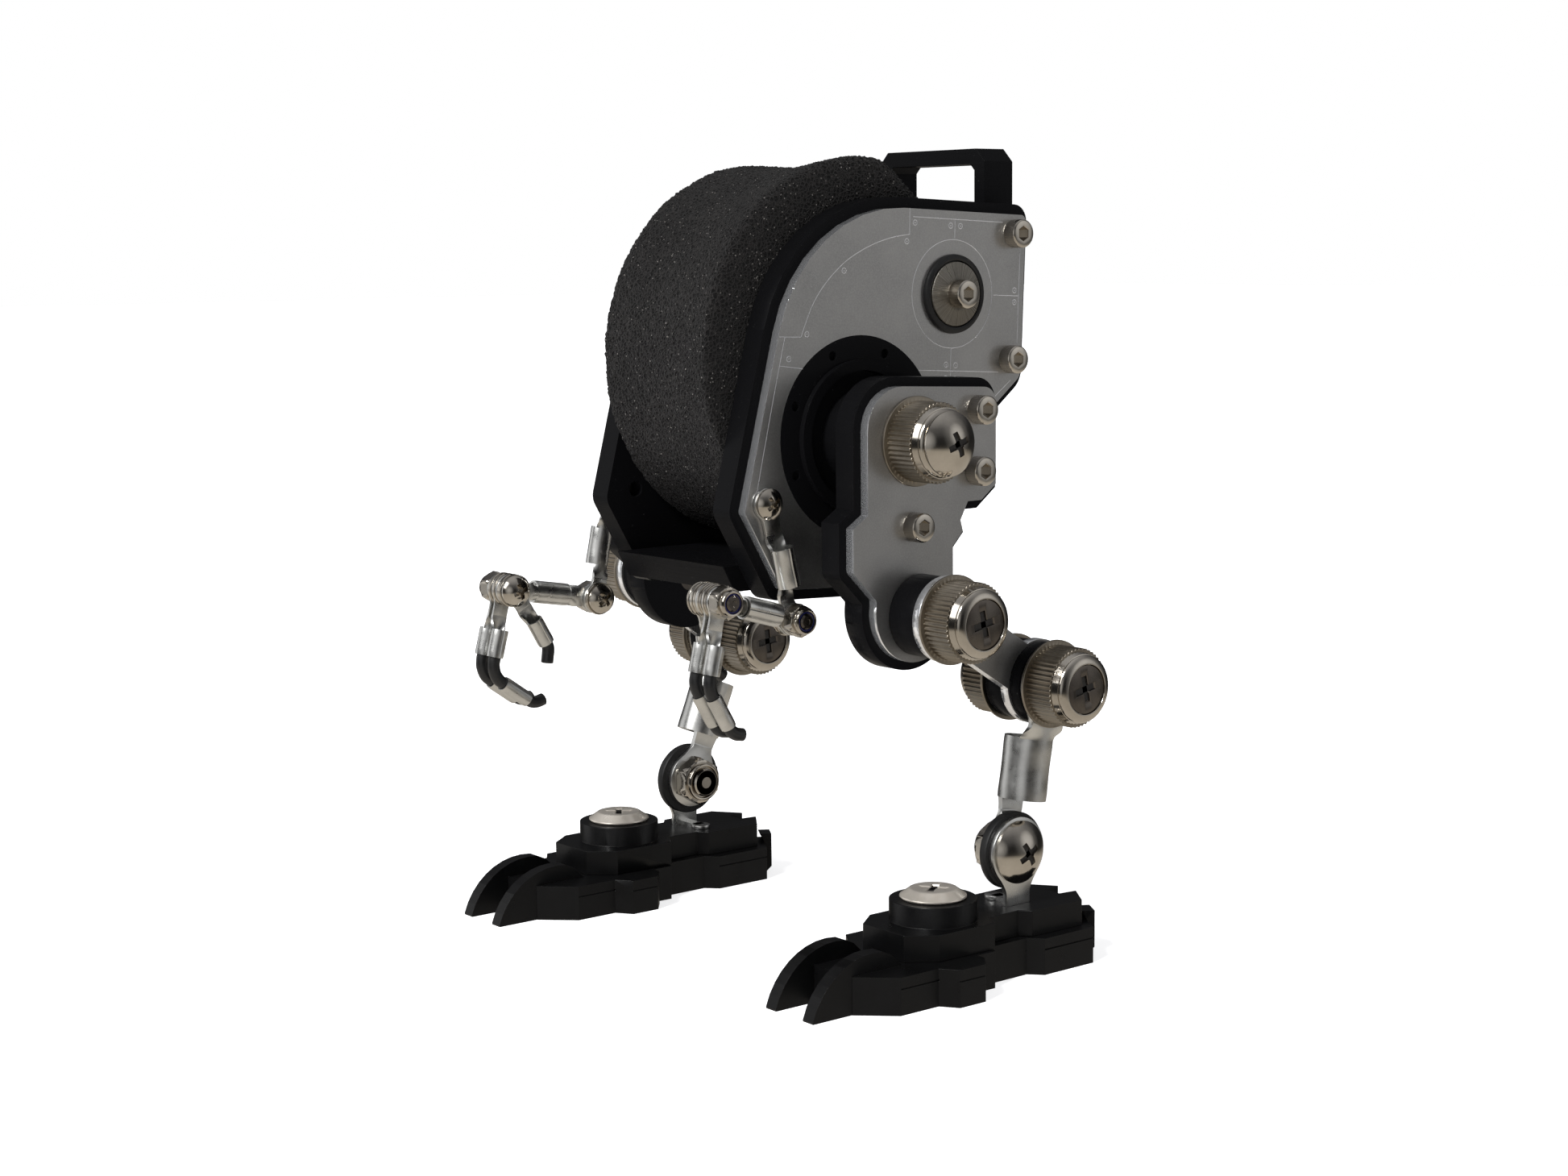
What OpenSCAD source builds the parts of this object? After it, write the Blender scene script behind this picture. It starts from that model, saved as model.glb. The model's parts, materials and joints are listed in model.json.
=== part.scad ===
// Desk-top walking robot kit: two laminated side plates hold a foam roll between them, two
// screw-jointed legs stand on clawed feet, and two terminal-and-wire arms end in three fingers.
// The robot faces -Y, stands on z = 0 and is mirrored about x = 0. Its arms and legs are posed apart.

/* [Body] */
// Distance between the inner faces of the two side plates
body_gap = 34; // [34:0.5:36]
// Thickness of each black side plate
plate_t = 5; // [4:0.5:5]
// Thickness of each silver cover
cover_t = 2; // [1.5:0.5:2]
// Black margin left visible round each silver cover
margin = 2.1; // [1.5:0.1:2.5]
// Backward lean of the body outline, in degrees
body_lean = 2.5; // [2:0.5:3]
// Radius of the foam roll
foam_r = 37.1; // [36:0.1:37.2]
// Distance of the flat on the foam roll's rear top from the roll's axis
foam_flat = 31; // [30:0.5:36]
// Radius of the hub disc round the hip
hub_r = 18.9; // [17:0.1:19]

/* [Handle] */
// Outer width of the carrying handle
handle_w = 31.6; // [28:0.2:32]
// Height of the handle's top face above the ground
handle_top = 154.5; // [153:0.5:156]
// Thickness of the handle's strap
handle_t = 3; // [2.5:0.25:3.5]
// Depth of the handle's strap from front to back
handle_depth = 7.6; // [6:0.1:8]

/* [Legs] */
// Distance from the centre plane to the middle of each foot
foot_x = 46; // [46:0.5:48]
// Radius of the knurled part of a knob
knob_r = 7.4; // [7:0.1:7.8]
// Length of a knob
knob_len = 8.9; // [8:0.1:9.2]
// Thickness of the link plates
link_t = 2; // [1.5:0.5:2]
// Turn of the right thigh against the left one, in degrees
right_thigh_turn = 3.4; // [0:0.1:5]
// Turn of the right link against the left one, in degrees
right_link_turn = -5.5; // [-8:0.5:0]
// Outer diameter of the big crimp barrel on each shin
shin_barrel_d = 9.3; // [8.5:0.1:9.6]

/* [Arms] */
// Length from shoulder to elbow
upper_len = 22.3; // [21:0.1:24]
// Length from elbow to wrist
fore_len = 20; // [19:0.1:22]
// Backward swing of the left and the right upper arm, in degrees
upper_swing = [13.2, -12.1]; // [-20:0.1:20]
// Rise of the left and the right forearm above level, in degrees
fore_rise = [15.8, 9.6]; // [0:0.1:30]
// Forward lean of the fingers' straight part on the left and the right hand, in degrees
finger_lean = [14, 15]; // [5:1:25]
// Bend between a finger's straight part and its ferrule on the left and the right hand
finger_bend = [44, 70]; // [20:1:80]
// Backward lean of the thumb on the left and the right hand, in degrees
thumb_lean = [12, 30]; // [5:1:35]
// Bend of the thumb's wire on the left and the right hand: plus is backwards
thumb_bend = [42, -38]; // [-45:1:45]

/* [Hidden] */
$fn = 48;

// A running fit, the gap left between faces that slide on each other and the gap round a clamped bolt
run_fit = 0.05;
face_gap = 0.05;
snug = 0.02;

// Planes across the body, measured from x = 0
plate_in = body_gap / 2;
plate_out = plate_in + plate_t;
cover_out = plate_out + cover_t;
thigh_in = plate_out + 11;
thigh_out = thigh_in + 5;
thigh_face = thigh_out + 2;
link_in = thigh_face + 7;
link_out = link_in + link_t;
hock_ring_in = link_out + 2.6;
hock_ring_t = 1.2;
hock_knob_base = hock_ring_in + hock_ring_t + face_gap;
hock_inner_base = link_in - 4.7;

// Joint axes and screws of the body and the left leg as [y, z] points
hip = [2.4, 100.1];
knee = [3.1, 68];
hock = [25, 54.2];
ankle = [19.9, 22.2];
shoulder = [-20.2, 89];
eye = [26, 126.3];
rear_top = [42.1, 137.7];
rear_low = [40.8, 113.3];
foam_at = [9.2, 114.9];
thigh_screw_at = [[17.7, 105.2], [17.2, 93.8], [1.8, 84.4]];
knee_lobe = [2.3, 68.9];
foot_y = 1;

// Radii of the M3 and M6 threads
m3_r = 1.5;
m6_r = 3;
black = [0.05, 0.05, 0.055];
silver = [0.62, 0.63, 0.64];
nickel = [0.74, 0.71, 0.66];
tinned = [0.78, 0.77, 0.74];

// ---- Outlines in the [y, z] plane ----
// An outline is a list of edges [outward direction, a point it passes, radius of its next corner].
function unit(a) = [cos(a), sin(a)];
function reach(edge, grow) = unit(edge[0]) * edge[1] + grow;
function meet(e1, e2, grow) =
    let (a = unit(e1[0]), b = unit(e2[0]), p = reach(e1, grow), q = reach(e2, grow))
    [p * b[1] - q * a[1], a[0] * q - b[0] * p] / (a[0] * b[1] - a[1] * b[0]);
function turn(e1, e2) = (e2[0] - e1[0] + 540) % 360 - 180;
function corner(e1, e2, grow) =
    let (r = e1[2] == 0 ? 0 : e1[2] + grow, c = meet(e1, e2, grow - r), t = turn(e1, e2))
    r == 0 ? [c] : [for (i = [0:8]) c + r * unit(e1[0] + t * i / 8)];
function outline(edges, grow) =
    [for (i = [0:len(edges) - 1]) each corner(edges[i], edges[(i + 1) % len(edges)], grow)];

torso_edges = [
    [-90 - body_lean, [-10, 72.4], 4],
    [-25, [15.1, 80.9], 0],
    [-52, [38.9, 105.9], 3],
    [-body_lean, [44.5, 120], 1.2],
    [90 - body_lean, [12.5, 142.7], 30],
    [168 - body_lean, [-25, 87.6], 1.5],
    [210, [-25, 87.6], 1]
];
thigh_edges = [
    [-90, [3, 68.9], 0],
    [0, [11.5, 74], 0],
    [-44, [11.7, 80.3], 0],
    [16, [14, 82.7], 0],
    [-29, [13.4, 84.8], 0],
    [-90, [16.4, 88.2], 0],
    [-53, [18.7, 88.2], 0],
    [0, [22.4, 100], 3],
    [90 - body_lean, [9, 109.8], 8],
    [180, [-9.2, 95], 0],
    [123, [-11, 86.1], 0],
    [180, [-12.75, 81], 0.8],
    [225, [-10.25, 74.45], 0],
    [180, [-7.3, 70], 0]
];

// ---- Building blocks ----
module along_x(x0, x1) {
    translate([x0, 0, 0]) rotate([90, 0, 90]) linear_extrude(x1 - x0) children();
}
module disc_x(x0, x1, at, r) {
    translate([x0, at[0], at[1]]) rotate([0, 90, 0]) cylinder(h = x1 - x0, r = r);
}
module hex_x(x0, x1, at, flats) {
    translate([x0, at[0], at[1]]) rotate([0, 90, 0])
        cylinder(h = x1 - x0, d = flats / cos(30), $fn = 6);
}
module turned_x(x, at, profile) {
    translate([x, at[0], at[1]]) rotate([0, 90, 0]) rotate_extrude() polygon(profile);
}
module swing(at, a) {
    translate([0, at[0], at[1]]) rotate([a, 0, 0]) translate([0, -at[0], -at[1]]) children();
}
module side(s) {
    mirror([s < 0 ? 1 : 0, 0, 0]) children();
}
// Socket-head cap screw whose head starts at x and whose shank runs inwards
module cap_screw(x, at, shank, size = m3_r) {
    head_h = 2 * size;
    difference() {
        union() {
            disc_x(x, x + head_h, at, size * 1.83);
            disc_x(x - shank, x, at, size);
        }
        hex_x(x + head_h / 2, x + head_h + 1, at, size * 1.67);
    }
}
// Cross recess cut into a head whose top is at x
module cross_recess(x, at, span, depth) {
    for (a = [20, 110])
        translate([x, at[0], at[1]]) rotate([a, 0, 0])
            cube([2 * depth, span, span / 4.5], center = true);
}
// Domed screw head standing outwards from x on a low rim, with its shank running inwards
module dome_screw(x, at, head_r, head_h, shank, size) {
    rim = 0.5;
    cap_h = head_h - rim;
    ball = (head_r * head_r + cap_h * cap_h) / (2 * cap_h);
    arc = asin(head_r / ball);
    turned_x(x - shank, at, concat(
        [[0, 0], [size, 0], [size, shank], [head_r, shank]],
        [for (i = [0:6]) [ball * sin(arc * (1 - i / 6)), shank + head_h - ball + ball * cos(arc * (1 - i / 6))]]
    ));
}
// Nylon-insert lock nut standing outwards from x, round a bolt end
module lock_nut(x, at, size = m3_r) {
    difference() {
        union() {
            hex_x(x, x + 1.75 * size, at, 3.67 * size);
            disc_x(x + 1.5 * size, x + 2.5 * size, at, 1.6 * size);
        }
        disc_x(x - 1, x + 3 * size, at, size + snug);
    }
}
// Crimp terminal in local axes: ring round the origin, tongue and barrel along +Z, faces from x = 0
module terminal(ring_r, hole_r, t, tongue_w, barrel_z0, barrel_z1, barrel_r, flip = false) {
    side_x = flip ? t - barrel_r : barrel_r;
    difference() {
        union() {
            disc_x(0, t, [0, 0], ring_r);
            translate([0, -tongue_w / 2, 0]) cube([t, tongue_w, barrel_z0 + 0.5]);
            translate([side_x, 0, barrel_z0]) cylinder(h = barrel_z1 - barrel_z0, r = barrel_r);
        }
        disc_x(-1, t + 1, [0, 0], hole_r);
    }
}

// ---- Body ----
module torso_outline(grow) {
    polygon(outline(torso_edges, grow));
}
module tab_slots(x0, x1, spare) {
    for (y = [-10, 2])
        translate([x0, y - spare, floor_z - spare]) cube([x1 - x0, 7 + 2 * spare, floor_t + 2 * spare]);
}
floor_z = 72.2;
floor_t = 5;
module plate_holes(x0, x1) {
    for (at = [eye, rear_top, rear_low]) disc_x(x0, x1, at, m3_r + run_fit);
    disc_x(x0, x1, shoulder, m3_r);
}
module side_plate(s) {
    color(black) side(s) difference() {
        along_x(plate_in, plate_out) torso_outline(margin);
        plate_holes(plate_in - 1, plate_out + 1);
        disc_x(plate_in - 1, plate_out + 1, hip, m6_r + 2);
        tab_slots(plate_in - 1, plate_in + 3, run_fit);
    }
}
module side_cover(s) {
    color(silver) side(s) difference() {
        along_x(plate_out, cover_out) torso_outline(0);
        plate_holes(plate_out - 1, cover_out + 1);
        disc_x(plate_out - 1, cover_out + 1, hip, hub_r + 0.1);
    }
}
// Stepped disc in the cover's round opening, with a boss that keeps the leg off the body
module hub_disc(s) {
    boss_r = 9;
    ring_r = 14.5;
    ring_in = 12.5;
    color(black) side(s) difference() {
        union() {
            disc_x(plate_out, cover_out, hip, hub_r);
            disc_x(cover_out, cover_out + 1.2, hip, ring_r);
            disc_x(cover_out, thigh_in - face_gap, hip, boss_r);
            disc_x(plate_in, plate_out, hip, m6_r + 2 - run_fit);
        }
        difference() {
            disc_x(cover_out, cover_out + 2, hip, ring_in);
            disc_x(cover_out - 1, cover_out + 3, hip, boss_r);
        }
        disc_x(plate_in - 1, thigh_in + 1, hip, m6_r + run_fit);
        for (i = [0:7])
            disc_x(cover_out - 1, cover_out + 2, hip + 16.6 * unit(22.5 + 45 * i), 0.9);
    }
}
module hub_discs() {
    hub_disc(1);
    hub_disc(-1);
}
module foam_roll() {
    rim = 2.5;
    half = plate_in - 0.1;
    tread = foam_r - 1.2;
    flat_turn = 50;
    color([0.16, 0.15, 0.16]) difference() {
        translate([0, foam_at[0], foam_at[1]]) rotate([0, 90, 0]) rotate_extrude($fn = 96) polygon([
            [0, -half], [foam_r - rim, -half], [foam_r, rim - half], [tread, 0],
            [foam_r, half - rim], [foam_r - rim, half], [0, half]
        ]);
        for (at = [eye, rear_low]) hex_x(-plate_in, plate_in, at, 5.6);
        translate([-plate_in, foam_at[0], foam_at[1]]) rotate([flat_turn, 0, 0])
            translate([0, foam_flat, -foam_r]) cube([2 * plate_in, foam_r, 2 * foam_r]);
    }
}
handle_y = 42;
handle_foot_z = 132;
module handle() {
    half = handle_w / 2;
    bevel = 2.5;
    inner = half - handle_t;
    gap_top = handle_top - handle_t;
    strap_low = 142;
    color(black) difference() {
        union() {
            translate([0, handle_y + handle_depth, 0]) rotate([90, 0, 0]) linear_extrude(handle_depth)
                polygon([
                    [-half, handle_foot_z], [-half, handle_top - bevel], [bevel - half, handle_top],
                    [half - bevel, handle_top], [half, handle_top - bevel], [half, handle_foot_z],
                    [inner, handle_foot_z], [inner, gap_top - bevel / 2], [inner - bevel / 2, gap_top],
                    [bevel / 2 - inner, gap_top], [-inner, gap_top - bevel / 2], [-inner, handle_foot_z]
                ]);
            for (s = [1, -1]) side(s)
                translate([inner, handle_y - 4, handle_foot_z])
                    cube([plate_in - inner, handle_depth + 2, strap_low - handle_foot_z]);
        }
        disc_x(-plate_in, plate_in, foam_at, foam_r + 0.2);
        disc_x(-plate_in - 1, plate_in + 1, rear_top, m3_r + run_fit);
    }
}
module floor_panel() {
    front = -22.2;
    color(black) union() {
        along_x(-plate_in, plate_in) polygon([
            [front, floor_z], [front - 2.7, floor_z + floor_t], [13.6, floor_z + floor_t], [11.4, floor_z]
        ]);
        for (s = [1, -1]) side(s) tab_slots(plate_in - 0.5, plate_in + 2.9, 0);
    }
}
module cross_spacers() {
    hex = 5.5;
    grip = 9;
    long = plate_in;
    short = handle_w / 2 - handle_t;
    color(nickel) for (p = [[eye, long], [rear_low, long], [rear_top, short]]) difference() {
        hex_x(-p[1], p[1], p[0], hex);
        for (s = [1, -1]) side(s) disc_x(p[1] - grip, p[1] + 1, p[0], m3_r + run_fit);
    }
}
module eye_grommets() {
    color([0.03, 0.03, 0.03]) for (s = [1, -1]) side(s) difference() {
        disc_x(cover_out, cover_out + 1.2, eye, 7.6);
        disc_x(cover_out - 1, cover_out + 2, eye, 2);
        disc_x(cover_out + 0.6, cover_out + 2, eye, 6.25);
    }
}
// Cap screws that clamp the covers, with a cup washer under each eye screw
module body_fasteners() {
    cup_x = cover_out + 0.6;
    cup_h = 1.1;
    color(nickel) for (s = [1, -1]) side(s) {
        cap_screw(cover_out, rear_top, 17.5);
        cap_screw(cover_out, rear_low, 14);
        difference() {
            turned_x(cup_x, eye, [[0, 0], [6.2, 0], [6.2, 0.6], [3.2, cup_h], [0, cup_h]]);
            disc_x(cup_x - 1, cup_x + 3, eye, m3_r + run_fit);
        }
        cap_screw(cup_x + cup_h, eye, 15);
    }
}
module shoulder_screws() {
    color(nickel) for (s = [1, -1]) side(s)
        dome_screw(cover_out + 0.8 + 2 * face_gap, shoulder, 2.9, 1.9, 6, m3_r);
}

// ---- Leg poses: each leg part is drawn in the left leg's place and turned for the right leg ----
function leg_turn(v, a) = [v[0] * cos(a) - v[1] * sin(a), v[0] * sin(a) + v[1] * cos(a)];
knee_right = hip + leg_turn(knee - hip, right_thigh_turn);
hock_right = knee_right + leg_turn(hock - knee, right_link_turn);
shin_len = norm(ankle - hock);
shin_drop = ankle[1] - hock_right[1];
ankle_right = [hock_right[0] - sqrt(shin_len * shin_len - shin_drop * shin_drop), ankle[1]];
right_shin_turn = atan2(shin_drop, ankle_right[0] - hock_right[0])
    - atan2(ankle[1] - hock[1], ankle[0] - hock[0]);

module place_leg_part(s, at, at_right, a) {
    move = s > 0 ? [0, 0] : at_right - at;
    side(s) translate([0, move[0], move[1]]) swing(at, s > 0 ? 0 : a) children();
}
module on_thigh(s) {
    place_leg_part(s, hip, hip, right_thigh_turn) children();
}
module on_link(s) {
    place_leg_part(s, knee, knee_right, right_link_turn) children();
}
module on_shin(s) {
    place_leg_part(s, hock, hock_right, right_shin_turn) children();
}
module on_foot(s) {
    place_leg_part(s, ankle, ankle_right, 0) children();
}

// ---- Thigh ----
module thigh_outline(grow) {
    polygon(outline(thigh_edges, grow));
    translate(knee_lobe) circle(r = 9.7 + grow);
}
module thigh_holes(x0, x1) {
    disc_x(x0, x1, hip, m6_r + run_fit);
    disc_x(x0, x1, knee, m6_r + run_fit);
    for (at = thigh_screw_at) disc_x(x0, x1, at, m3_r);
}
module thigh_plate(s) {
    color(black) on_thigh(s) difference() {
        along_x(thigh_in, thigh_out) thigh_outline(1.7);
        thigh_holes(thigh_in - 1, thigh_out + 1);
    }
}
module thigh_cover(s) {
    color(silver) on_thigh(s) difference() {
        along_x(thigh_out, thigh_face) thigh_outline(0);
        thigh_holes(thigh_out - 1, thigh_face + 1);
    }
}
// Three cap screws and the domed hip screw that reaches through the knob into the hub
module thigh_fasteners(s) {
    color(nickel) on_thigh(s) {
        for (at = thigh_screw_at) cap_screw(thigh_face, at, 6);
        dome_screw(thigh_face + knob_len, hip, 6, 3, 27, m6_r);
    }
}
// Knob standing on x: thin flange, knurled drum and bevelled neck;
// socket > 0 sinks a flat screw head into its face
module knob(x, at, socket) {
    flange_t = 0.55;
    flange_r = knob_r + 0.9;
    neck_r = 6.4;
    neck_x = 6.5;
    bevel = [1.5, 0.95];
    difference() {
        turned_x(x, at, [
            [0, 0], [flange_r, 0], [flange_r, flange_t], [knob_r, flange_t],
            [knob_r, neck_x], [neck_r, neck_x],
            [neck_r, knob_len - bevel[1]], [neck_r - bevel[0], knob_len], [0, knob_len]
        ]);
        disc_x(x - 1, x + knob_len + 1, at, m6_r);
        if (socket > 0) disc_x(x + knob_len - socket, x + knob_len + 1, at, 4.7);
    }
}
module hip_knob(s) {
    color(nickel) on_thigh(s) knob(thigh_face, hip, 0);
}

// ---- Link between knee and hock ----
knob_socket = 1.2;
module about_plane(x) {
    translate([x, 0, 0]) mirror([1, 0, 0]) translate([-x, 0, 0]) children();
}
module link_shape() {
    span = hock - knee;
    translate(knee) circle(r = 8);
    translate(hock) circle(r = 8);
    translate(knee) rotate([0, 0, atan2(span[1], span[0])])
        translate([0, -4.7]) square([norm(span), 9.4]);
}
module link_plate(s) {
    color(silver) on_link(s) difference() {
        along_x(link_in, link_out) link_shape();
        disc_x(link_in - 1, link_out + 1, knee, m6_r);
        disc_x(link_in - 1, link_out + 1, hock, m6_r);
    }
}
module link_knobs(s) {
    color(nickel) on_link(s) {
        knob(link_out, knee, knob_socket);
        knob(hock_knob_base, hock, knob_socket);
        about_plane(hock_inner_base) knob(hock_inner_base, hock, knob_socket);
    }
}
// Flat countersunk-look screw head lying in a knob's socket
module flat_head(x, at) {
    difference() {
        disc_x(x - knob_socket, x - 0.2, at, 4.6);
        cross_recess(x - 0.2, at, 5.2, 0.7);
    }
}
module link_screws(s) {
    color([0.32, 0.3, 0.29]) on_link(s) {
        union() {
            flat_head(link_out + knob_len, knee);
            disc_x(thigh_in + 1, link_out + knob_len - knob_socket, knee, m6_r);
        }
        union() {
            flat_head(hock_knob_base + knob_len, hock);
            about_plane(hock_inner_base) flat_head(hock_inner_base + knob_len, hock);
            disc_x(hock_inner_base - knob_len + knob_socket, hock_knob_base + knob_len - knob_socket,
                hock, m6_r);
        }
    }
}
module spacer(x0, x1, at) {
    difference() {
        disc_x(x0, x1, at, 7.6);
        disc_x(x0 - 1, x1 + 1, at, m6_r);
    }
}
module link_spacers(s) {
    color(black) on_link(s) {
        spacer(thigh_face + face_gap, link_in, knee);
        spacer(hock_inner_base, link_in, hock);
        spacer(link_out, hock_ring_in - face_gap, hock);
    }
}

// ---- Shin: a big crimp terminal with a smaller one held in its barrel ----
shin_ring_x = 44.9;
shin_ring_t = 1.1;
ankle_disc_r = 7.4;
// Flat ring whose shoulders taper into a neck along the second axis
module necked_ring(r, neck_w, neck_start) {
    circle(r = r);
    shoulder = [0.78 * r, 0.62 * r];
    polygon([[-shoulder[0], shoulder[1]], shoulder, [neck_w / 2, neck_start], [-neck_w / 2, neck_start]]);
}
module shin_terminals(s) {
    barrel_r = shin_barrel_d / 2;
    wall = 1;
    barrel_x = hock_ring_in + hock_ring_t - barrel_r;
    barrel_top = shin_len - 10.6;
    barrel_low = shin_len - 22.4;
    tongue_x = barrel_x - barrel_r + wall;
    neck_w = 5.2;
    joggle_low = ankle_disc_r + 0.25;
    lean = atan2(hock[0] - ankle[0], hock[1] - ankle[1]);
    color(tinned) on_shin(s) translate([0, ankle[0], ankle[1]]) rotate([-lean, 0, 0]) difference() {
        union() {
            disc_x(hock_ring_in, hock_ring_in + hock_ring_t, [0, shin_len], 7.3);
            translate([hock_ring_in, -4, barrel_top - 1])
                cube([hock_ring_t, 8, shin_len - barrel_top]);
            translate([barrel_x, 0, barrel_low]) difference() {
                cylinder(h = barrel_top - barrel_low, r = barrel_r);
                translate([0, 0, -1]) cylinder(h = 50, r = barrel_r - wall);
            }
            along_x(shin_ring_x, shin_ring_x + shin_ring_t) necked_ring(5.9, neck_w, joggle_low);
            translate([0, neck_w / 2, 0]) rotate([90, 0, 0]) linear_extrude(neck_w) polygon([
                [shin_ring_x, 0], [shin_ring_x + shin_ring_t, 0],
                [shin_ring_x + shin_ring_t, joggle_low], [tongue_x + shin_ring_t, barrel_low - 0.2],
                [tongue_x + shin_ring_t, barrel_top - 1], [tongue_x - 0.3, barrel_top - 1],
                [tongue_x - 0.3, barrel_low], [shin_ring_x, joggle_low + 0.4]
            ]);
        }
        disc_x(hock_ring_in - 1, hock_ring_in + 3, [0, shin_len], m6_r + run_fit);
        disc_x(shin_ring_x - 1, shin_ring_x + 3, [0, 0], m6_r + run_fit);
    }
}

// ---- Foot, in local axes round its own centre line ----
sole_t = 5;
trim_top = 7;
block_top = 12;
boss_top = 16;
function both_sides(half) = concat(half, [for (i = [len(half) - 1:-1:0]) [-half[i][0], half[i][1]]]);
module in_foot(s) {
    on_foot(s) translate([foot_x, foot_y, 0]) children();
}
module foot_plan() {
    polygon(both_sides([
        [6.8, -25.4], [12.7, -19.1], [12.7, -10.1], [16, -7.8], [16, -1.6], [12.6, 1.2], [10.8, 1.2],
        [10.8, 5.6], [8.2, 7.2], [8.1, 16.2], [10.6, 18.5], [10.5, 31.4], [3.4, 35.8]
    ]));
}
// One upright claw plate: a curved back over a straight foot
module claw() {
    centre = [-20.4, -4.2];
    r = 14.7;
    arc = [for (a = [162:-9:81]) centre + r * unit(a)];
    along_x(3.8, 6.7) polygon(concat([[-34.3, 0]], arc, [[-16.1, 9.4], [-13.6, trim_top], [-13.6, 0]]));
}
// Upright hook behind one slanted corner of the heel, clear of the sole above its foot
module heel_hook() {
    corner_at = [3.4, 35.8];
    chamfer_turn = 31.8;
    translate(corner_at) rotate([0, 0, -chamfer_turn]) along_x(-2, 2.4) polygon([
        [-1, 0], [0.35, 0], [1.7, 1.4], [1.7, 8.6], [-0.85, 8.6], [0, trim_top], [-1, trim_top]
    ]);
}
module foot_sole(s) {
    groove = 0.25;
    color(black) in_foot(s) difference() {
        union() {
            linear_extrude(trim_top) foot_plan();
            for (k = [1, -1]) side(k) claw();
            side(s) heel_hook();
        }
        for (k = [1, -1]) side(k) {
            translate([16 - groove, -8, sole_t - groove]) cube([3, 7, 0.3]);
            translate([12.7 - groove, -19, sole_t - groove]) cube([1, 9, 0.3]);
            translate([10.5 - groove, 18.5, sole_t - groove]) cube([1, 13, 0.3]);
        }
        translate([0, 0, trim_top - 3]) cylinder(h = 4, r = m6_r);
    }
}
module foot_block(s) {
    color(black) in_foot(s) difference() {
        union() {
            translate([0, 0, trim_top]) linear_extrude(block_top - trim_top) polygon(both_sides([
                [5.7, -12.3], [9.7, -7.2], [9.9, 6.4], [6.3, 8.6], [6.1, 16], [8.1, 17.6],
                [8.2, 30.6], [2.4, 34.8], [1.9, 30.8]
            ]));
            translate([0, 0, block_top]) cylinder(h = boss_top - block_top, r = 8.24);
        }
        translate([0, 0, trim_top - 1]) cylinder(h = 12, r = m6_r + 0.2);
        translate([tab_x - run_fit, tab_y - tab_w / 2 - run_fit, block_top - 3])
            cube([tab_t + 2 * run_fit, tab_w + 2 * run_fit, 4]);
    }
}
module foot_screw(s) {
    head_r = 6.3;
    color(nickel) in_foot(s) difference() {
        translate([0, 0, boss_top]) rotate([0, -90, 0]) union() {
            turned_x(0, [0, 0], [[0, 0], [head_r - 0.8, 0], [head_r, 0.5], [head_r - 1.8, 1.7], [0, 1.9]]);
            disc_x(3 - boss_top + trim_top - 4.9, 0, [0, 0], m6_r);
        }
        translate([0, 0, boss_top + 1.9]) for (a = [35, 125]) rotate([0, 0, a])
            cube([4.6, 1.1, 1.8], center = true);
    }
}
// Upright ring tab let into the foot, level with the ankle
tab_x = 47.9 - foot_x;
tab_t = 1.1;
tab_w = 6;
tab_y = ankle[0] - foot_y;
module foot_terminal(s) {
    color(tinned) in_foot(s) {
        difference() {
            union() {
                translate([0, tab_y, ankle[1]]) mirror([0, 0, 1]) along_x(tab_x, tab_x + tab_t)
                    necked_ring(6.6, tab_w, 8);
                translate([tab_x, tab_y - tab_w / 2, block_top - 2.9])
                    cube([tab_t, tab_w, ankle[1] - block_top]);
                translate([tab_x - 5.5, tab_y, block_top]) cylinder(h = 0.8, r = 2);
                translate([tab_x - 5.5, tab_y - 1.2, block_top]) cube([5.6, 2.4, 0.8]);
            }
            disc_x(tab_x - 1, tab_x + tab_t + 1, [tab_y, ankle[1]], m6_r);
        }
    }
}
module ankle_bolt(s) {
    head_x = 47.9 + tab_t;
    color(nickel) on_foot(s) {
        dome_screw(head_x, ankle, 6, 3.2, head_x - 40.2, m6_r);
        difference() {
            hex_x(40.8, shin_ring_x - face_gap, ankle, 9);
            disc_x(40, 46, ankle, m6_r + snug);
        }
    }
}
module ankle_disc(s) {
    color([0.03, 0.03, 0.03]) on_foot(s) difference() {
        disc_x(shin_ring_x + shin_ring_t + face_gap, 47.9, ankle, ankle_disc_r);
        disc_x(44, 50, ankle, m6_r + snug);
    }
}

// ---- Arms; i = 0 is the left arm and i = 1 the right arm ----
function elbow(i) = shoulder + upper_len * [sin(upper_swing[i]), -cos(upper_swing[i])];
function wrist(i) = elbow(i) + fore_len * [-cos(fore_rise[i]), sin(fore_rise[i])];
module arm_side(i) {
    side(i == 0 ? 1 : -1) children();
}
arm_ring_t = 0.8;
upper_x = cover_out + face_gap;
fore_x = upper_x + arm_ring_t + 0.1;
finger_t = 0.6;
thumb_x = upper_x - 1;
finger_1_x = fore_x + 1.7;
finger_2_x = finger_1_x + 1.5;
// Two small terminals joined barrel in barrel, drawn along +Z with a ring at each end
module arm_link(len, barrel_z0, barrel_z1, first_hole, last_hole) {
    barrel_r = 2.2;
    ring_r = 3;
    difference() {
        union() {
            terminal(ring_r, first_hole, arm_ring_t, 3.6, barrel_z0, barrel_z1, barrel_r);
            disc_x(0, arm_ring_t, [0, len], ring_r);
            translate([0, -1.6, barrel_z1 - 1]) cube([arm_ring_t, 3.2, len - barrel_z1]);
        }
        disc_x(-1, arm_ring_t + 1, [0, len], last_hole);
        disc_x(-1, arm_ring_t + 1, [0, 0], first_hole);
    }
}
module upper_arm(i) {
    color(tinned) arm_side(i) translate([upper_x, shoulder[0], shoulder[1]])
        rotate([180 + upper_swing[i], 0, 0])
            arm_link(upper_len, 8.3, 15.7, m3_r + run_fit, m3_r + run_fit);
}
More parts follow.
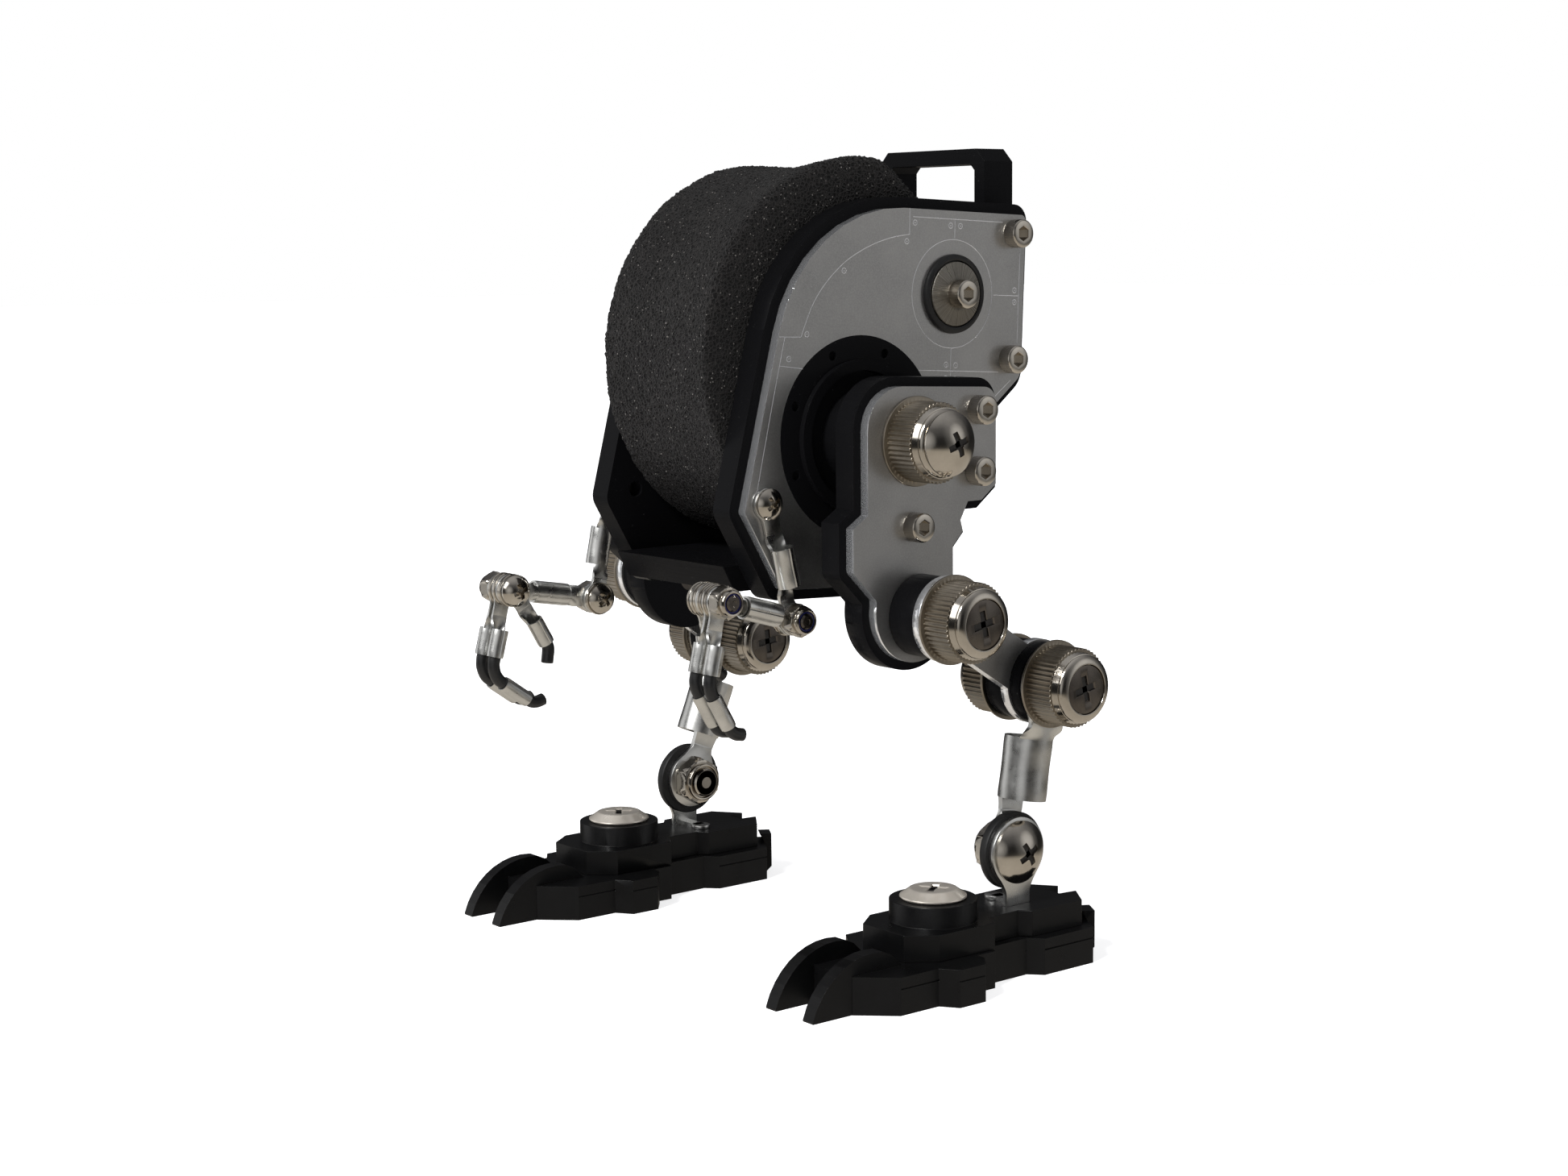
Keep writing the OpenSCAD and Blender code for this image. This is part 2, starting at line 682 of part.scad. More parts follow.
module forearm(i) {
    color(tinned) arm_side(i) translate([fore_x, elbow(i)[0], elbow(i)[1]])
        rotate([90 - fore_rise[i], 0, 0])
            arm_link(fore_len, 5.4, 13.4, m3_r + snug, m3_r + snug);
}
module washer(x0, x1, at) {
    difference() {
        disc_x(x0, x1, at, 3.2);
        disc_x(x0 - 1, x1 + 1, at, m3_r + snug);
    }
}
// Elbow and wrist bolts with their washers and lock nuts
module arm_bolts(i) {
    nut_x = finger_2_x + finger_t + face_gap;
    elbow_nut_x = fore_x + arm_ring_t;
    elbow_head_x = upper_x - 1;
    wrist_head_x = thumb_x - face_gap;
    bolt_end = 4;
    color(nickel) arm_side(i) {
        about_plane(elbow_head_x)
            dome_screw(elbow_head_x, elbow(i), 2.9, 1.9, elbow_nut_x + bolt_end - elbow_head_x, m3_r);
        washer(elbow_head_x + snug, upper_x - face_gap, elbow(i));
        lock_nut(elbow_nut_x + face_gap, elbow(i));
        about_plane(wrist_head_x)
            dome_screw(wrist_head_x, wrist(i), 3.1, 2.2, nut_x + bolt_end - wrist_head_x, m3_r);
        washer(thumb_x + finger_t + face_gap, fore_x - snug, wrist(i));
        washer(fore_x + arm_ring_t + snug, finger_1_x - face_gap, wrist(i));
        washer(finger_1_x + finger_t + face_gap, finger_2_x - face_gap, wrist(i));
        lock_nut(nut_x, wrist(i));
    }
}

wire_r = 1.2;
// Flat-ended wire from the origin along +Z: each step is [length, turn towards +Y in degrees]
module wire(steps, k = 0) {
    if (k < len(steps)) {
        hull() {
            wire_slice();
            wire_step(steps[k]) wire_slice();
        }
        wire_step(steps[k]) wire(steps, k + 1);
    }
}
module wire_slice() {
    cylinder(h = 0.01, r = wire_r, $fn = 20);
}
module wire_step(step) {
    translate([0, 0, step[0]]) rotate([-step[1], 0, 0]) children();
}
// Steps of an arc that turns by a degrees on the given radius
function arc_steps(radius, a, n) =
    let (chord = 2 * radius * sin(abs(a) / n / 2))
    concat([[0.001, a / n / 2]], [for (k = [1:n]) [chord, k < n ? a / n : a / n / 2]]);
module on_wrist(i, x, lean) {
    arm_side(i) translate([x, wrist(i)[0], wrist(i)[1]]) rotate([180 - lean, 0, 0]) children();
}
barrel_r = 1.65;
finger_barrel = [7.9, 13.3];
ferrule_len = 6.6;
wire_grip = 2.9;
finger_sweep = 4.2;
tip_sweep = 3;
tip_bend = 50;
thumb_sweep = 2.4;
// A finger's terminal and, further out, the ferrule crimped round its wire
module finger(i, x, flip) {
    wire_x = flip ? finger_t - barrel_r : barrel_r;
    color(tinned) on_wrist(i, x, finger_lean[i]) {
        difference() {
            terminal(2.9, m3_r + run_fit, finger_t, 3.2, finger_barrel[0], finger_barrel[1], barrel_r, flip);
            translate([wire_x, 0, finger_barrel[1] - wire_grip]) cylinder(h = 4, r = wire_r + snug);
        }
        translate([wire_x, 0, finger_barrel[1]]) ferrule_at(i) difference() {
            cylinder(h = ferrule_len, r = 1.5);
            translate([0, 0, -1]) cylinder(h = ferrule_len + 2, r = wire_r + snug);
        }
    }
}
module ferrule_at(i) {
    translate([0, 0, 0.6]) mirror([0, 1, 0])
        translate([0, finger_sweep * (1 - cos(finger_bend[i])), finger_sweep * sin(finger_bend[i])])
            rotate([-finger_bend[i], 0, 0]) translate([0, 0, 0.4]) children();
}
module finger_wire(i, x, flip) {
    wire_x = flip ? finger_t - barrel_r : barrel_r;
    color(black) on_wrist(i, x, finger_lean[i]) translate([wire_x, 0, finger_barrel[1] - wire_grip])
        wire(concat(
            [[wire_grip + 0.6, 0]], arc_steps(finger_sweep, -finger_bend[i], 5),
            [[ferrule_len + 0.6, 0]], arc_steps(tip_sweep, -tip_bend, 3), [[1, 0]]
        ));
}
thumb_barrel = [6.8, 12.2];
module thumb(i) {
    wire_x = finger_t - barrel_r;
    color(tinned) on_wrist(i, thumb_x, -thumb_lean[i]) difference() {
        terminal(2.9, m3_r + run_fit, finger_t, 3.2, thumb_barrel[0], thumb_barrel[1], barrel_r, true);
        translate([wire_x, 0, thumb_barrel[1] - wire_grip]) cylinder(h = 4, r = wire_r + snug);
    }
}
module thumb_wire(i) {
    color(black) on_wrist(i, thumb_x, -thumb_lean[i])
        translate([finger_t - barrel_r, 0, thumb_barrel[1] - wire_grip])
            wire(concat([[wire_grip + 0.2, 0]], arc_steps(thumb_sweep, -thumb_bend[i], 3), [[2.2, 0]]));
}

side_plate(1);  // side_plate_left
side_plate(-1);  // side_plate_right
side_cover(1);  // side_cover_left
side_cover(-1);  // side_cover_right
hub_discs();
foam_roll();
handle();
floor_panel();
cross_spacers();
eye_grommets();
body_fasteners();
shoulder_screws();
thigh_plate(1);  // thigh_plate_left
thigh_cover(1);  // thigh_cover_left
thigh_fasteners(1);  // thigh_fasteners_left
hip_knob(1);  // hip_knob_left
link_plate(1);  // link_plate_left
link_knobs(1);  // link_knobs_left
link_screws(1);  // link_screws_left
link_spacers(1);  // link_spacers_left
shin_terminals(1);  // shin_terminals_left
foot_sole(1);  // foot_sole_left
foot_block(1);  // foot_block_left
foot_screw(1);  // foot_screw_left
foot_terminal(1);  // foot_terminal_left
ankle_bolt(1);  // ankle_bolt_left
ankle_disc(1);  // ankle_disc_left
thigh_plate(-1);  // thigh_plate_right
thigh_cover(-1);  // thigh_cover_right
thigh_fasteners(-1);  // thigh_fasteners_right
hip_knob(-1);  // hip_knob_right
link_plate(-1);  // link_plate_right
link_knobs(-1);  // link_knobs_right
link_screws(-1);  // link_screws_right
link_spacers(-1);  // link_spacers_right
shin_terminals(-1);  // shin_terminals_right
foot_sole(-1);  // foot_sole_right
foot_block(-1);  // foot_block_right
foot_screw(-1);  // foot_screw_right
foot_terminal(-1);  // foot_terminal_right
ankle_bolt(-1);  // ankle_bolt_right
ankle_disc(-1);  // ankle_disc_right
upper_arm(0);  // upper_arm_left
forearm(0);  // forearm_left
arm_bolts(0);  // arm_bolts_left
finger(0, finger_1_x, true);  // finger_1_left
finger_wire(0, finger_1_x, true);  // finger_1_wire_left
finger(0, finger_2_x, false);  // finger_2_left
finger_wire(0, finger_2_x, false);  // finger_2_wire_left
thumb(0);  // thumb_left
thumb_wire(0);  // thumb_wire_left
upper_arm(1);  // upper_arm_right
forearm(1);  // forearm_right
arm_bolts(1);  // arm_bolts_right
finger(1, finger_1_x, true);  // finger_1_right
finger_wire(1, finger_1_x, true);  // finger_1_wire_right
finger(1, finger_2_x, false);  // finger_2_right
finger_wire(1, finger_2_x, false);  // finger_2_wire_right
thumb(1);  // thumb_right
thumb_wire(1);  // thumb_wire_right
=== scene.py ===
import json
import math

import bpy
import bmesh
from mathutils import Matrix, Vector, noise


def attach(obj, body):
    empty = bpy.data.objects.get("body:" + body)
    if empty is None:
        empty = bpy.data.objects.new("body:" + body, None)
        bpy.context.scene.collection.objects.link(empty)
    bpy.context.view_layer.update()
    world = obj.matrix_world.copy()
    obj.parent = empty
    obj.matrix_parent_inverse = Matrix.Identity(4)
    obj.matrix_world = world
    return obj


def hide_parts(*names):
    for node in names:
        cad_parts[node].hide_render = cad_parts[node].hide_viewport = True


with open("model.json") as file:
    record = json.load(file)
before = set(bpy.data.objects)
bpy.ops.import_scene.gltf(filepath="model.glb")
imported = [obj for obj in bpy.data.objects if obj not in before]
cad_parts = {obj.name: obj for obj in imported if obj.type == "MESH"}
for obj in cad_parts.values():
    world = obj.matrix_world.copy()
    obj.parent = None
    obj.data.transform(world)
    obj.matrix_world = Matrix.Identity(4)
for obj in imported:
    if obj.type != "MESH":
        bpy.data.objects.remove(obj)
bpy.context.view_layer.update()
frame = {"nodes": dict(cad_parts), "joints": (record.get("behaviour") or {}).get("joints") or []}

MM = 0.001
TAU = 2 * math.pi
X_AXIS = Vector((1, 0, 0))
SIDES = {"left": 1, "right": -1}

# ---- Camera at the photograph's angle: degrees, metres and a lens in millimetres ----
CAMERA_AZIMUTH, CAMERA_PITCH, CAMERA_ROLL = 51.459, 7.557, -0.553
CAMERA_AT, CAMERA_LENS, FILM_WIDTH = (0.392444, -0.309581, 0.135613), 59.05, 36


def add_object(name, data):
    obj = bpy.data.objects.new(name, data)
    bpy.context.scene.collection.objects.link(obj)
    return obj


def add_camera():
    azimuth, pitch, roll = (math.radians(v) for v in (CAMERA_AZIMUTH, CAMERA_PITCH, CAMERA_ROLL))
    forward = Vector((-math.sin(azimuth) * math.cos(pitch), math.cos(azimuth) * math.cos(pitch), -math.sin(pitch)))
    level = Vector((math.cos(azimuth), math.sin(azimuth), 0))
    above = level.cross(forward)
    right, up = level * math.cos(roll) + above * math.sin(roll), above * math.cos(roll) - level * math.sin(roll)
    data = bpy.data.cameras.new("camera")
    data.sensor_width, data.lens = FILM_WIDTH, CAMERA_LENS
    data.clip_start, data.clip_end = 0.01, 20
    camera = add_object("camera", data)
    turn = Matrix((right, up, -forward)).transposed().to_4x4()
    camera.matrix_world = Matrix.Translation(CAMERA_AT) @ turn
    bpy.context.scene.camera = camera


add_camera()

# ---- Places on the robot, in millimetres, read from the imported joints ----
JOINT = {j["name"]: Vector(j["pos_m"]) / MM for j in frame["joints"]}


def joint_at(name, side):
    return JOINT[f"{name}_{side}"]


def slope(first, second, side):
    """Direction from one joint to the next, as a turn about +X."""
    span = joint_at(second, side) - joint_at(first, side)
    return math.atan2(span.z, span.y)


# Screw points of the body and the thigh as (y, z), and the outer faces of the covers, links and hock
EYE, REAR_TOP, REAR_LOW = (26, 126.3), (42.1, 137.7), (40.8, 113.3)
THIGH_SCREWS = ((17.7, 105.2), (17.2, 93.8), (1.8, 84.4))
COVER_X, THIGH_X, LINK_X = 24, 40, 49
HOCK_OUT_X, HOCK_IN_X = 52.85, 42.3
# Radius of M3 and M6 threads, of their threaded holes and of the clear holes in M3 and M6 rings
M3_R, M6_R, M3_THREAD, M6_THREAD, M3_HOLE, M6_HOLE = 1.5, 3, 1.52, 3.02, 1.56, 3.06
KNOB_LEN, KNOB_SOCKET, NECK_HOLE = 8.9, 1.2, 3.05
# Foam roll: its axis as (y, z), radius, half width, and its flat's distance and direction from the axis
FOAM_AT, FOAM_R, FOAM_HALF = (9.2, 114.9), 37.1, 16.9
FOAM_FLAT, FLAT_TURN = 32.4, math.radians(50)


# ---- Shapes: points in millimetres and faces that index them ----
class Shape:
    def __init__(self, points=(), faces=()):
        self.points = [Vector(p) for p in points]
        self.faces = [tuple(f) for f in faces]

    def moved(self, matrix):
        return Shape([matrix @ p for p in self.points], self.faces)

    def at(self, x, y, z):
        return self.moved(Matrix.Translation((x, y, z)))

    def __add__(self, other):
        n = len(self.points)
        faces = self.faces + [tuple(i + n for i in f) for f in other.faces]
        return Shape(self.points + other.points, faces)


FLIP_X = Matrix.Scale(-1, 4, X_AXIS)


def turn_x(degrees):
    return Matrix.Rotation(math.radians(degrees), 4, "X")


def lathe(rings, seg=64, through=False):
    """Turned solid about +X. Each ring is (x, radius) and a radius may be a function of the angle.
    through joins the last ring to the first, so the profile is closed round a hole."""
    points, faces, index = [], [], []
    for x, r in rings:
        if r == 0:
            index.append([len(points)])
            points.append((x, 0, 0))
            continue
        index.append(range(len(points), len(points) + seg))
        for k in range(seg):
            t = TAU * k / seg
            rr = r(t) if callable(r) else r
            points.append((x, rr * math.cos(t), rr * math.sin(t)))
    pairs = list(zip(index, index[1:]))
    if through:
        pairs.append((index[-1], index[0]))
    for a, b in pairs:
        for k in range(seg):
            n = (k + 1) % seg
            if len(a) == 1 and len(b) == 1:
                break
            if len(a) == 1:
                faces.append((a[0], b[n], b[k]))
            elif len(b) == 1:
                faces.append((a[k], a[n], b[0]))
            else:
                faces.append((a[k], a[n], b[n], b[k]))
    return Shape(points, faces)


def fluted(radius, depth, count):
    return lambda t: radius - depth * (0.5 - 0.5 * math.cos(count * t))


def hexagon(flats, cap=1e9):
    """Radius of a hexagon across its flats, cut off at cap as by a turned chamfer."""
    step = math.radians(60)
    return lambda t: min(flats / 2 / math.cos((t + step / 2) % step - step / 2), cap)


def box(x0, x1, y0, y1, z0, z1, top=1.0):
    """Box whose face at x1 is wider than its face at x0 by top."""
    points = []
    for x, k in ((x0, 1.0), (x1, top)):
        points += [(x, y0 * k, z0 * k), (x, y1 * k, z0 * k), (x, y1 * k, z1 * k), (x, y0 * k, z1 * k)]
    return Shape(points, [(0, 3, 2, 1), (4, 5, 6, 7), (0, 1, 5, 4), (1, 2, 6, 5), (2, 3, 7, 6), (3, 0, 4, 7)])


# Points closer than this are one point, and shorter edges go, in metres
SAME_POINT, NO_LENGTH = 2e-7, 1e-7


def rows_of(count, size):
    """Numbers of the points that lie in rows of equal size."""
    return [range(i * size, (i + 1) * size) for i in range(count)]


def skin(rows):
    """Faces between neighbouring closed rows of points."""
    faces = []
    for a, b in zip(rows, rows[1:]):
        for k in range(len(a)):
            n = (k + 1) % len(a)
            faces.append((a[k], a[n], b[n], b[k]))
    return faces


def capped_skin(rows):
    return skin(rows) + [tuple(rows[0]), tuple(rows[-1])]


def to_mesh(shape, name):
    mesh = bpy.data.meshes.new(name)
    mesh.from_pydata([p * MM for p in shape.points], [], shape.faces)
    bm = bmesh.new()
    bm.from_mesh(mesh)
    bmesh.ops.remove_doubles(bm, verts=bm.verts, dist=SAME_POINT)
    bmesh.ops.dissolve_degenerate(bm, edges=bm.edges, dist=NO_LENGTH)
    bmesh.ops.recalc_face_normals(bm, faces=bm.faces)
    bm.to_mesh(mesh)
    bm.free()
    return mesh


def from_object(obj):
    """Shape of an object's final mesh, and the object is removed."""
    bpy.context.view_layer.update()
    graph = bpy.context.evaluated_depsgraph_get()
    mesh = bpy.data.meshes.new_from_object(obj.evaluated_get(graph))
    shape = Shape([v.co / MM for v in mesh.vertices], [tuple(p.vertices) for p in mesh.polygons])
    bpy.data.objects.remove(obj)
    bpy.data.meshes.remove(mesh)
    return shape


def cut(shape, *cutters):
    """shape with each cutter taken out of it."""
    body = add_object("cut_body", to_mesh(shape, "cut_body"))
    tools = [add_object("cut_tool", to_mesh(c, "cut_tool")) for c in cutters]
    for tool in tools:
        m = body.modifiers.new("cut", "BOOLEAN")
        m.object, m.operation, m.solver = tool, "DIFFERENCE", "EXACT"
    out = from_object(body)
    for tool in tools:
        bpy.data.objects.remove(tool)
    return out


def plate(outlines, x0, x1, bevel=0.1):
    """Flat plate between x0 and x1 with rounded edges. outlines are (y, z) loops: the first is the
    outside and the others are holes."""
    data = bpy.data.curves.new("plate", "CURVE")
    data.dimensions, data.fill_mode = "2D", "BOTH"
    data.extrude, data.bevel_depth, data.bevel_resolution = (x1 - x0) / 2 - bevel, bevel, 1
    data.offset = -bevel
    for loop in outlines:
        spline = data.splines.new("POLY")
        spline.points.add(len(loop) - 1)
        for point, (y, z) in zip(spline.points, loop):
            point.co = (y, z, 0, 1)
        spline.use_cyclic_u = True
    flat = from_object(add_object("plate", data))
    upright = Matrix(((0, 0, 1, 0), (1, 0, 0, 0), (0, 1, 0, 0), (0, 0, 0, 1)))
    return Shape([p * MM for p in flat.points], flat.faces).moved(upright).at((x0 + x1) / 2, 0, 0)


def circle(radius, centre=(0, 0), n=48):
    return [(centre[0] + radius * math.cos(TAU * k / n), centre[1] + radius * math.sin(TAU * k / n))
            for k in range(n)]


def tube_along(path, radii, seg=20):
    """Closed round tube through points of one upright plane, with a radius at each point."""
    points = []
    for i, p in enumerate(path):
        ahead = path[min(i + 1, len(path) - 1)] - path[max(i - 1, 0)]
        across = ahead.normalized().cross(X_AXIS)
        for k in range(seg):
            t = TAU * k / seg
            points.append(p + radii[i] * (math.cos(t) * X_AXIS + math.sin(t) * across))
    return Shape(points, capped_skin(rows_of(len(path), seg)))


# ---- Fastener shapes; heads stand on x = 0 and point along +X ----
# A cross recess: its arm's half width against its span, its narrowing towards the floor, the half width
# of its core against its span, and the width of its broken rim
RECESS_ARM, RECESS_FLOOR, RECESS_CORE, RECESS_RIM = 0.125, 0.72, 0.19, 0.12
# Depth of a cross recess against its dome's height, and radius of a lock nut's collar against its flats
DOME_RECESS, COLLAR = 0.62, 0.44


def cross_cutters(top, span, depth, tilt):
    """Tapered blades and a core that sink a cross recess below x = top, then the blades' broken rim."""
    length, width, clear, rim = span / 2, span * RECESS_ARM, 0.6, RECESS_RIM
    floor, over = RECESS_FLOOR, 1 + (1 - RECESS_FLOOR) * clear / depth
    deep = box(top - depth, top + clear, -length * floor, length * floor, -width * floor, width * floor,
               over / floor)
    lip = box(top - rim, top + rim, -length, length, -width, width, 1 + 2 * rim / width)
    blades = [blade.moved(turn_x(a)) for a in (tilt, tilt + 90) for blade in (deep, lip)]
    half = span * RECESS_CORE * 0.8
    core = box(top - depth * 1.1, top + clear, -half, half, -half, half, 1.5)
    return blades + [core.moved(turn_x(tilt + 45))]


def recess_shade(top, span, depth, tilt, sunk):
    """Very dark solid that fills a cross recess up to sunk below x = top: painted shade in the recess's depth."""
    length, width, floor = span / 2, span * RECESS_ARM, RECESS_FLOOR
    grow = floor + (1 - floor) * (1 - sunk / depth)
    arm = box(top - depth - 0.05, top - sunk, -length * floor, length * floor, -width * floor, width * floor,
              grow / floor)
    return arm.moved(turn_x(tilt)) + arm.moved(turn_x(tilt + 90))


def dome_head(radius, height, rim, shank_r, shank, span, tilt):
    """Pan-head screw: a low rim, a domed top with a cross recess, and its shank."""
    cap = height - rim
    ball = (radius ** 2 + cap ** 2) / (2 * cap)
    arc = math.asin(radius / ball)
    steps = 14
    rings = [(-shank, 0), (-shank, shank_r - 0.3), (0.3 - shank, shank_r), (0, shank_r), (0, radius - 0.12),
             (0.12, radius)]
    for i in range(steps + 1):
        a = arc * (1 - i / steps)
        rings.append((height - ball + ball * math.cos(a), ball * math.sin(a) if i < steps else 0))
    return cut(lathe(rings), *cross_cutters(height, span, height * DOME_RECESS, tilt))


def cap_head(shank, size=M3_R, flutes=36):
    """Socket-head cap screw with a knurled side and a hexagon socket."""
    r, h = size * 1.83, size * 2
    socket = hexagon(size * 1.67)
    side = fluted(r, 0.1, flutes)
    rings = [(h * 0.5, 0), (h * 0.5, socket), (h - 0.12, socket), (h, hexagon(size * 1.85)),
             (h, r * 0.86), (h - 0.08, r * 0.93), (h - 0.28, r * 0.985), (h - 0.42, side), (0.2, side),
             (0, r * 0.95), (0, size), (-shank, size), (-shank, 0)]
    return lathe(rings, seg=flutes * 4)


def lock_nut(size, height, flats, collar_h):
    """Hexagon nut with a rounded collar; its insert is a separate shape."""
    corner = flats / math.sqrt(3)
    hexes = hexagon(flats)
    collar_r = flats * COLLAR
    top = height + collar_h
    rings = [(0, size), (0, hexagon(flats, corner * 0.92)), (height * 0.1, hexes), (height * 0.84, hexes),
             (height * 0.97, hexagon(flats, corner * 0.9)), (height, hexagon(flats, corner * 0.86)),
             (height, collar_r), (top - 0.35, collar_r), (top - 0.1, collar_r - 0.12),
             (top, collar_r - 0.32), (top - 0.04, collar_r - 0.5), (top - 0.3, collar_r - 0.62),
             (height, collar_r - 0.62), (height, size)]
    return lathe(rings, seg=72, through=True)


def nut_insert(size, height, flats, collar_h):
    """Plastic ring inside a lock nut's collar."""
    outer = flats * COLLAR - 0.64
    top = height + collar_h - 0.28
    return lathe([(height, size), (height, outer), (top, outer), (top + 0.06, (outer + size) / 2), (top, size)],
                 seg=48, through=True)


def bolt_end(size, x0, x1):
    """Threaded end of a bolt: a stack of shallow thread ridges with a chamfered tip."""
    pitch, depth = size / 3, size / 12
    rings = [(x0, 0), (x0, size - depth)]
    x = x0 + pitch / 2
    while x < x1 - 0.45:
        rings += [(x, size - 0.01), (x + pitch / 2, size - depth)]
        x += pitch
    rings += [(x1 - 0.3, size - 0.03), (x1, size - 0.35), (x1, size * 0.4), (x1 - 0.12, size * 0.3),
              (x1 - 0.12, 0)]
    return lathe(rings, seg=40)


def washer(x0, x1, outer, inner):
    edge = min(0.12, (x1 - x0) / 3)
    return lathe([(x0, inner), (x0, outer - edge), (x0 + edge, outer), (x1 - edge, outer), (x1, outer - edge),
                  (x1, inner)], seg=56, through=True)


def knob_drum():
    """Thin flange and a knurled drum whose ribs end as teeth."""
    teeth, r, hole = 50, 7.45, 6.2
    side = fluted(r, 0.34, teeth)
    rings = [(0, hole), (0, 8.18), (0.1, 8.3), (0.45, 8.3), (0.54, 8.2), (0.56, 7.5), (0.6, side), (6.42, side),
             (6.5, fluted(r - 0.1, 0.3, teeth)), (6.5, hole)]
    return lathe(rings, seg=teeth * 10, through=True)


def knob_neck(socket):
    """Polished neck with a fine groove and a rounded bevel round the face."""
    rings = [(0.05, NECK_HOLE), (0.05, 6.25), (6.4, 6.25), (6.44, 6.82), (6.5, 6.87), (7.7, 6.47),
             (7.76, 6.27), (7.84, 6.27), (7.9, 6.37), (8.1, 6.32), (8.35, 6.1), (8.6, 5.74), (8.77, 5.34),
             (8.87, 4.98), (KNOB_LEN, 4.8)]
    if socket:
        floor = KNOB_LEN - KNOB_SOCKET
        rings += [(8.88, 4.72), (8.8, 4.68), (floor, 4.68), (floor, NECK_HOLE)]
    else:
        rings += [(KNOB_LEN, NECK_HOLE)]
    return lathe(rings, seg=96, through=True)


# Cross recesses of the flat screws in the knobs and the feet: top, span, depth and tilt
FLAT_RECESS, FOOT_RECESS = (KNOB_SOCKET - 0.2, 5.3, 0.85, 12), (1.88, 5.0, 1.25, 35)


def flat_head():
    """Low screw head in a knob's socket, its top just below the face."""
    r, top = 4.58, FLAT_RECESS[0]
    rings = [(0, 0), (0, r), (top - 0.14, r), (top - 0.04, r - 0.06), (top, r - 0.16), (top, 0)]
    return cut(lathe(rings), *cross_cutters(*FLAT_RECESS))


def foot_head():
    """Low conical screw head on the foot's boss, with its shank."""
    top = FOOT_RECESS[0]
    rings = [(-12, 0), (-12, M6_R), (0, M6_R), (0, 5.6), (0.12, 6.1), (0.4, 6.3), (0.62, 6.22), (1.6, 4.75),
             (1.76, 4.58), (1.84, 4.42), (top, 4.25), (top, 3.9), (top, 0)]
    return cut(lathe(rings, 72), *cross_cutters(*FOOT_RECESS))


HIP_SHADE, ANKLE_SHADE = recess_shade(3.0, 5.0, 1.86, 22, 0.62), recess_shade(3.2, 5.0, 1.98, 30, 0.66)
FLAT_SHADE, FOOT_SHADE = recess_shade(*FLAT_RECESS, 0.4), recess_shade(*FOOT_RECESS, 0.3)
HIP_DOME = dome_head(5.95, 3.0, 0.45, M6_R, 26, 5.0, 22)
ANKLE_DOME = dome_head(6.0, 3.2, 0.5, M6_R, 8.8, 5.0, 30)
SHOULDER_DOME = dome_head(2.9, 1.9, 0.6, M3_R, 5, 3.4, 35)
WRIST_DOME = dome_head(3.1, 2.2, 0.35, M3_R, 5, 3.4, 20)
CAP_SHORT, CAP_LONG = cap_head(6), cap_head(15)
DRUM, NECK, NECK_CUPPED = knob_drum(), knob_neck(False), knob_neck(True)
FLAT_HEAD, FOOT_HEAD = flat_head(), foot_head()


# ---- Crimp terminals; ring round the origin, barrel along +Z, faces from x = 0 ----
def barrel(radius, z0, z1, x, wall=0.42, squeeze=0.05, seam=0.0):
    """Open crimp barrel with a seam groove on the side at +X or, with seam 180, at -X."""
    levels, seg = 9, 60
    rings = []
    for skin in (radius, radius - wall):
        order = range(levels + 1) if skin == radius else range(levels, -1, -1)
        for k in order:
            z = z0 + (z1 - z0) * k / levels
            pinch = 1 - squeeze * math.sin(math.pi * k / levels) ** 2
            lip = 0.06 if k in (0, levels) and skin == radius else 0

            def radius_at(t, skin=skin, pinch=pinch, lip=lip):
                off = abs((t - math.radians(seam) + math.pi) % TAU - math.pi)
                groove = 0.16 * max(0, 1 - off / 0.11) if skin == radius else 0
                flat = 1 - (1 - pinch) * (0.5 + 0.5 * math.cos(2 * t))
                return (skin - lip) * flat - groove
            rings.append((z, radius_at))
    tube = lathe(rings, seg=seg, through=True)
    stand = Matrix(((0, 1, 0, 0), (0, 0, 1, 0), (1, 0, 0, 0), (0, 0, 0, 1)))
    return tube.moved(stand).at(x, 0, 0)


def scoop(width, thick, radius, z0, z1):
    """Sheet that starts flat at z0 and curls into the barrel's wall at z1."""
    across, along, spread = 12, 10, 1.15
    points, faces = [], []
    for i in range(along + 1):
        s = i / along
        ease = s * s * (3 - 2 * s)
        half = (1 - ease) * width / 2 + ease * radius * spread
        curl = max(ease / radius, 1e-4)
        for outer in (0, 1):
            for k in range(across + 1):
                u = 2 * k / across - 1
                a = u * half * curl
                r = 1 / curl - (thick * (1 - 0.25 * ease) if outer else 0)
                points.append((1 / curl - r * math.cos(a), r * math.sin(a), z0 + (z1 - z0) * s))
    row = 2 * (across + 1)
    for i in range(along):
        for k in range(across):
            for o in (0, across + 1):
                a = i * row + o + k
                faces.append((a, a + 1, a + 1 + row, a + row))
        for k in (0, across):
            a = i * row + k
            faces.append((a, a + across + 1, a + across + 1 + row, a + row))
    for i in (0, along):
        for k in range(across):
            a = i * row + k
            faces.append((a, a + 1, a + across + 2, a + across + 1))
    return Shape(points, faces)


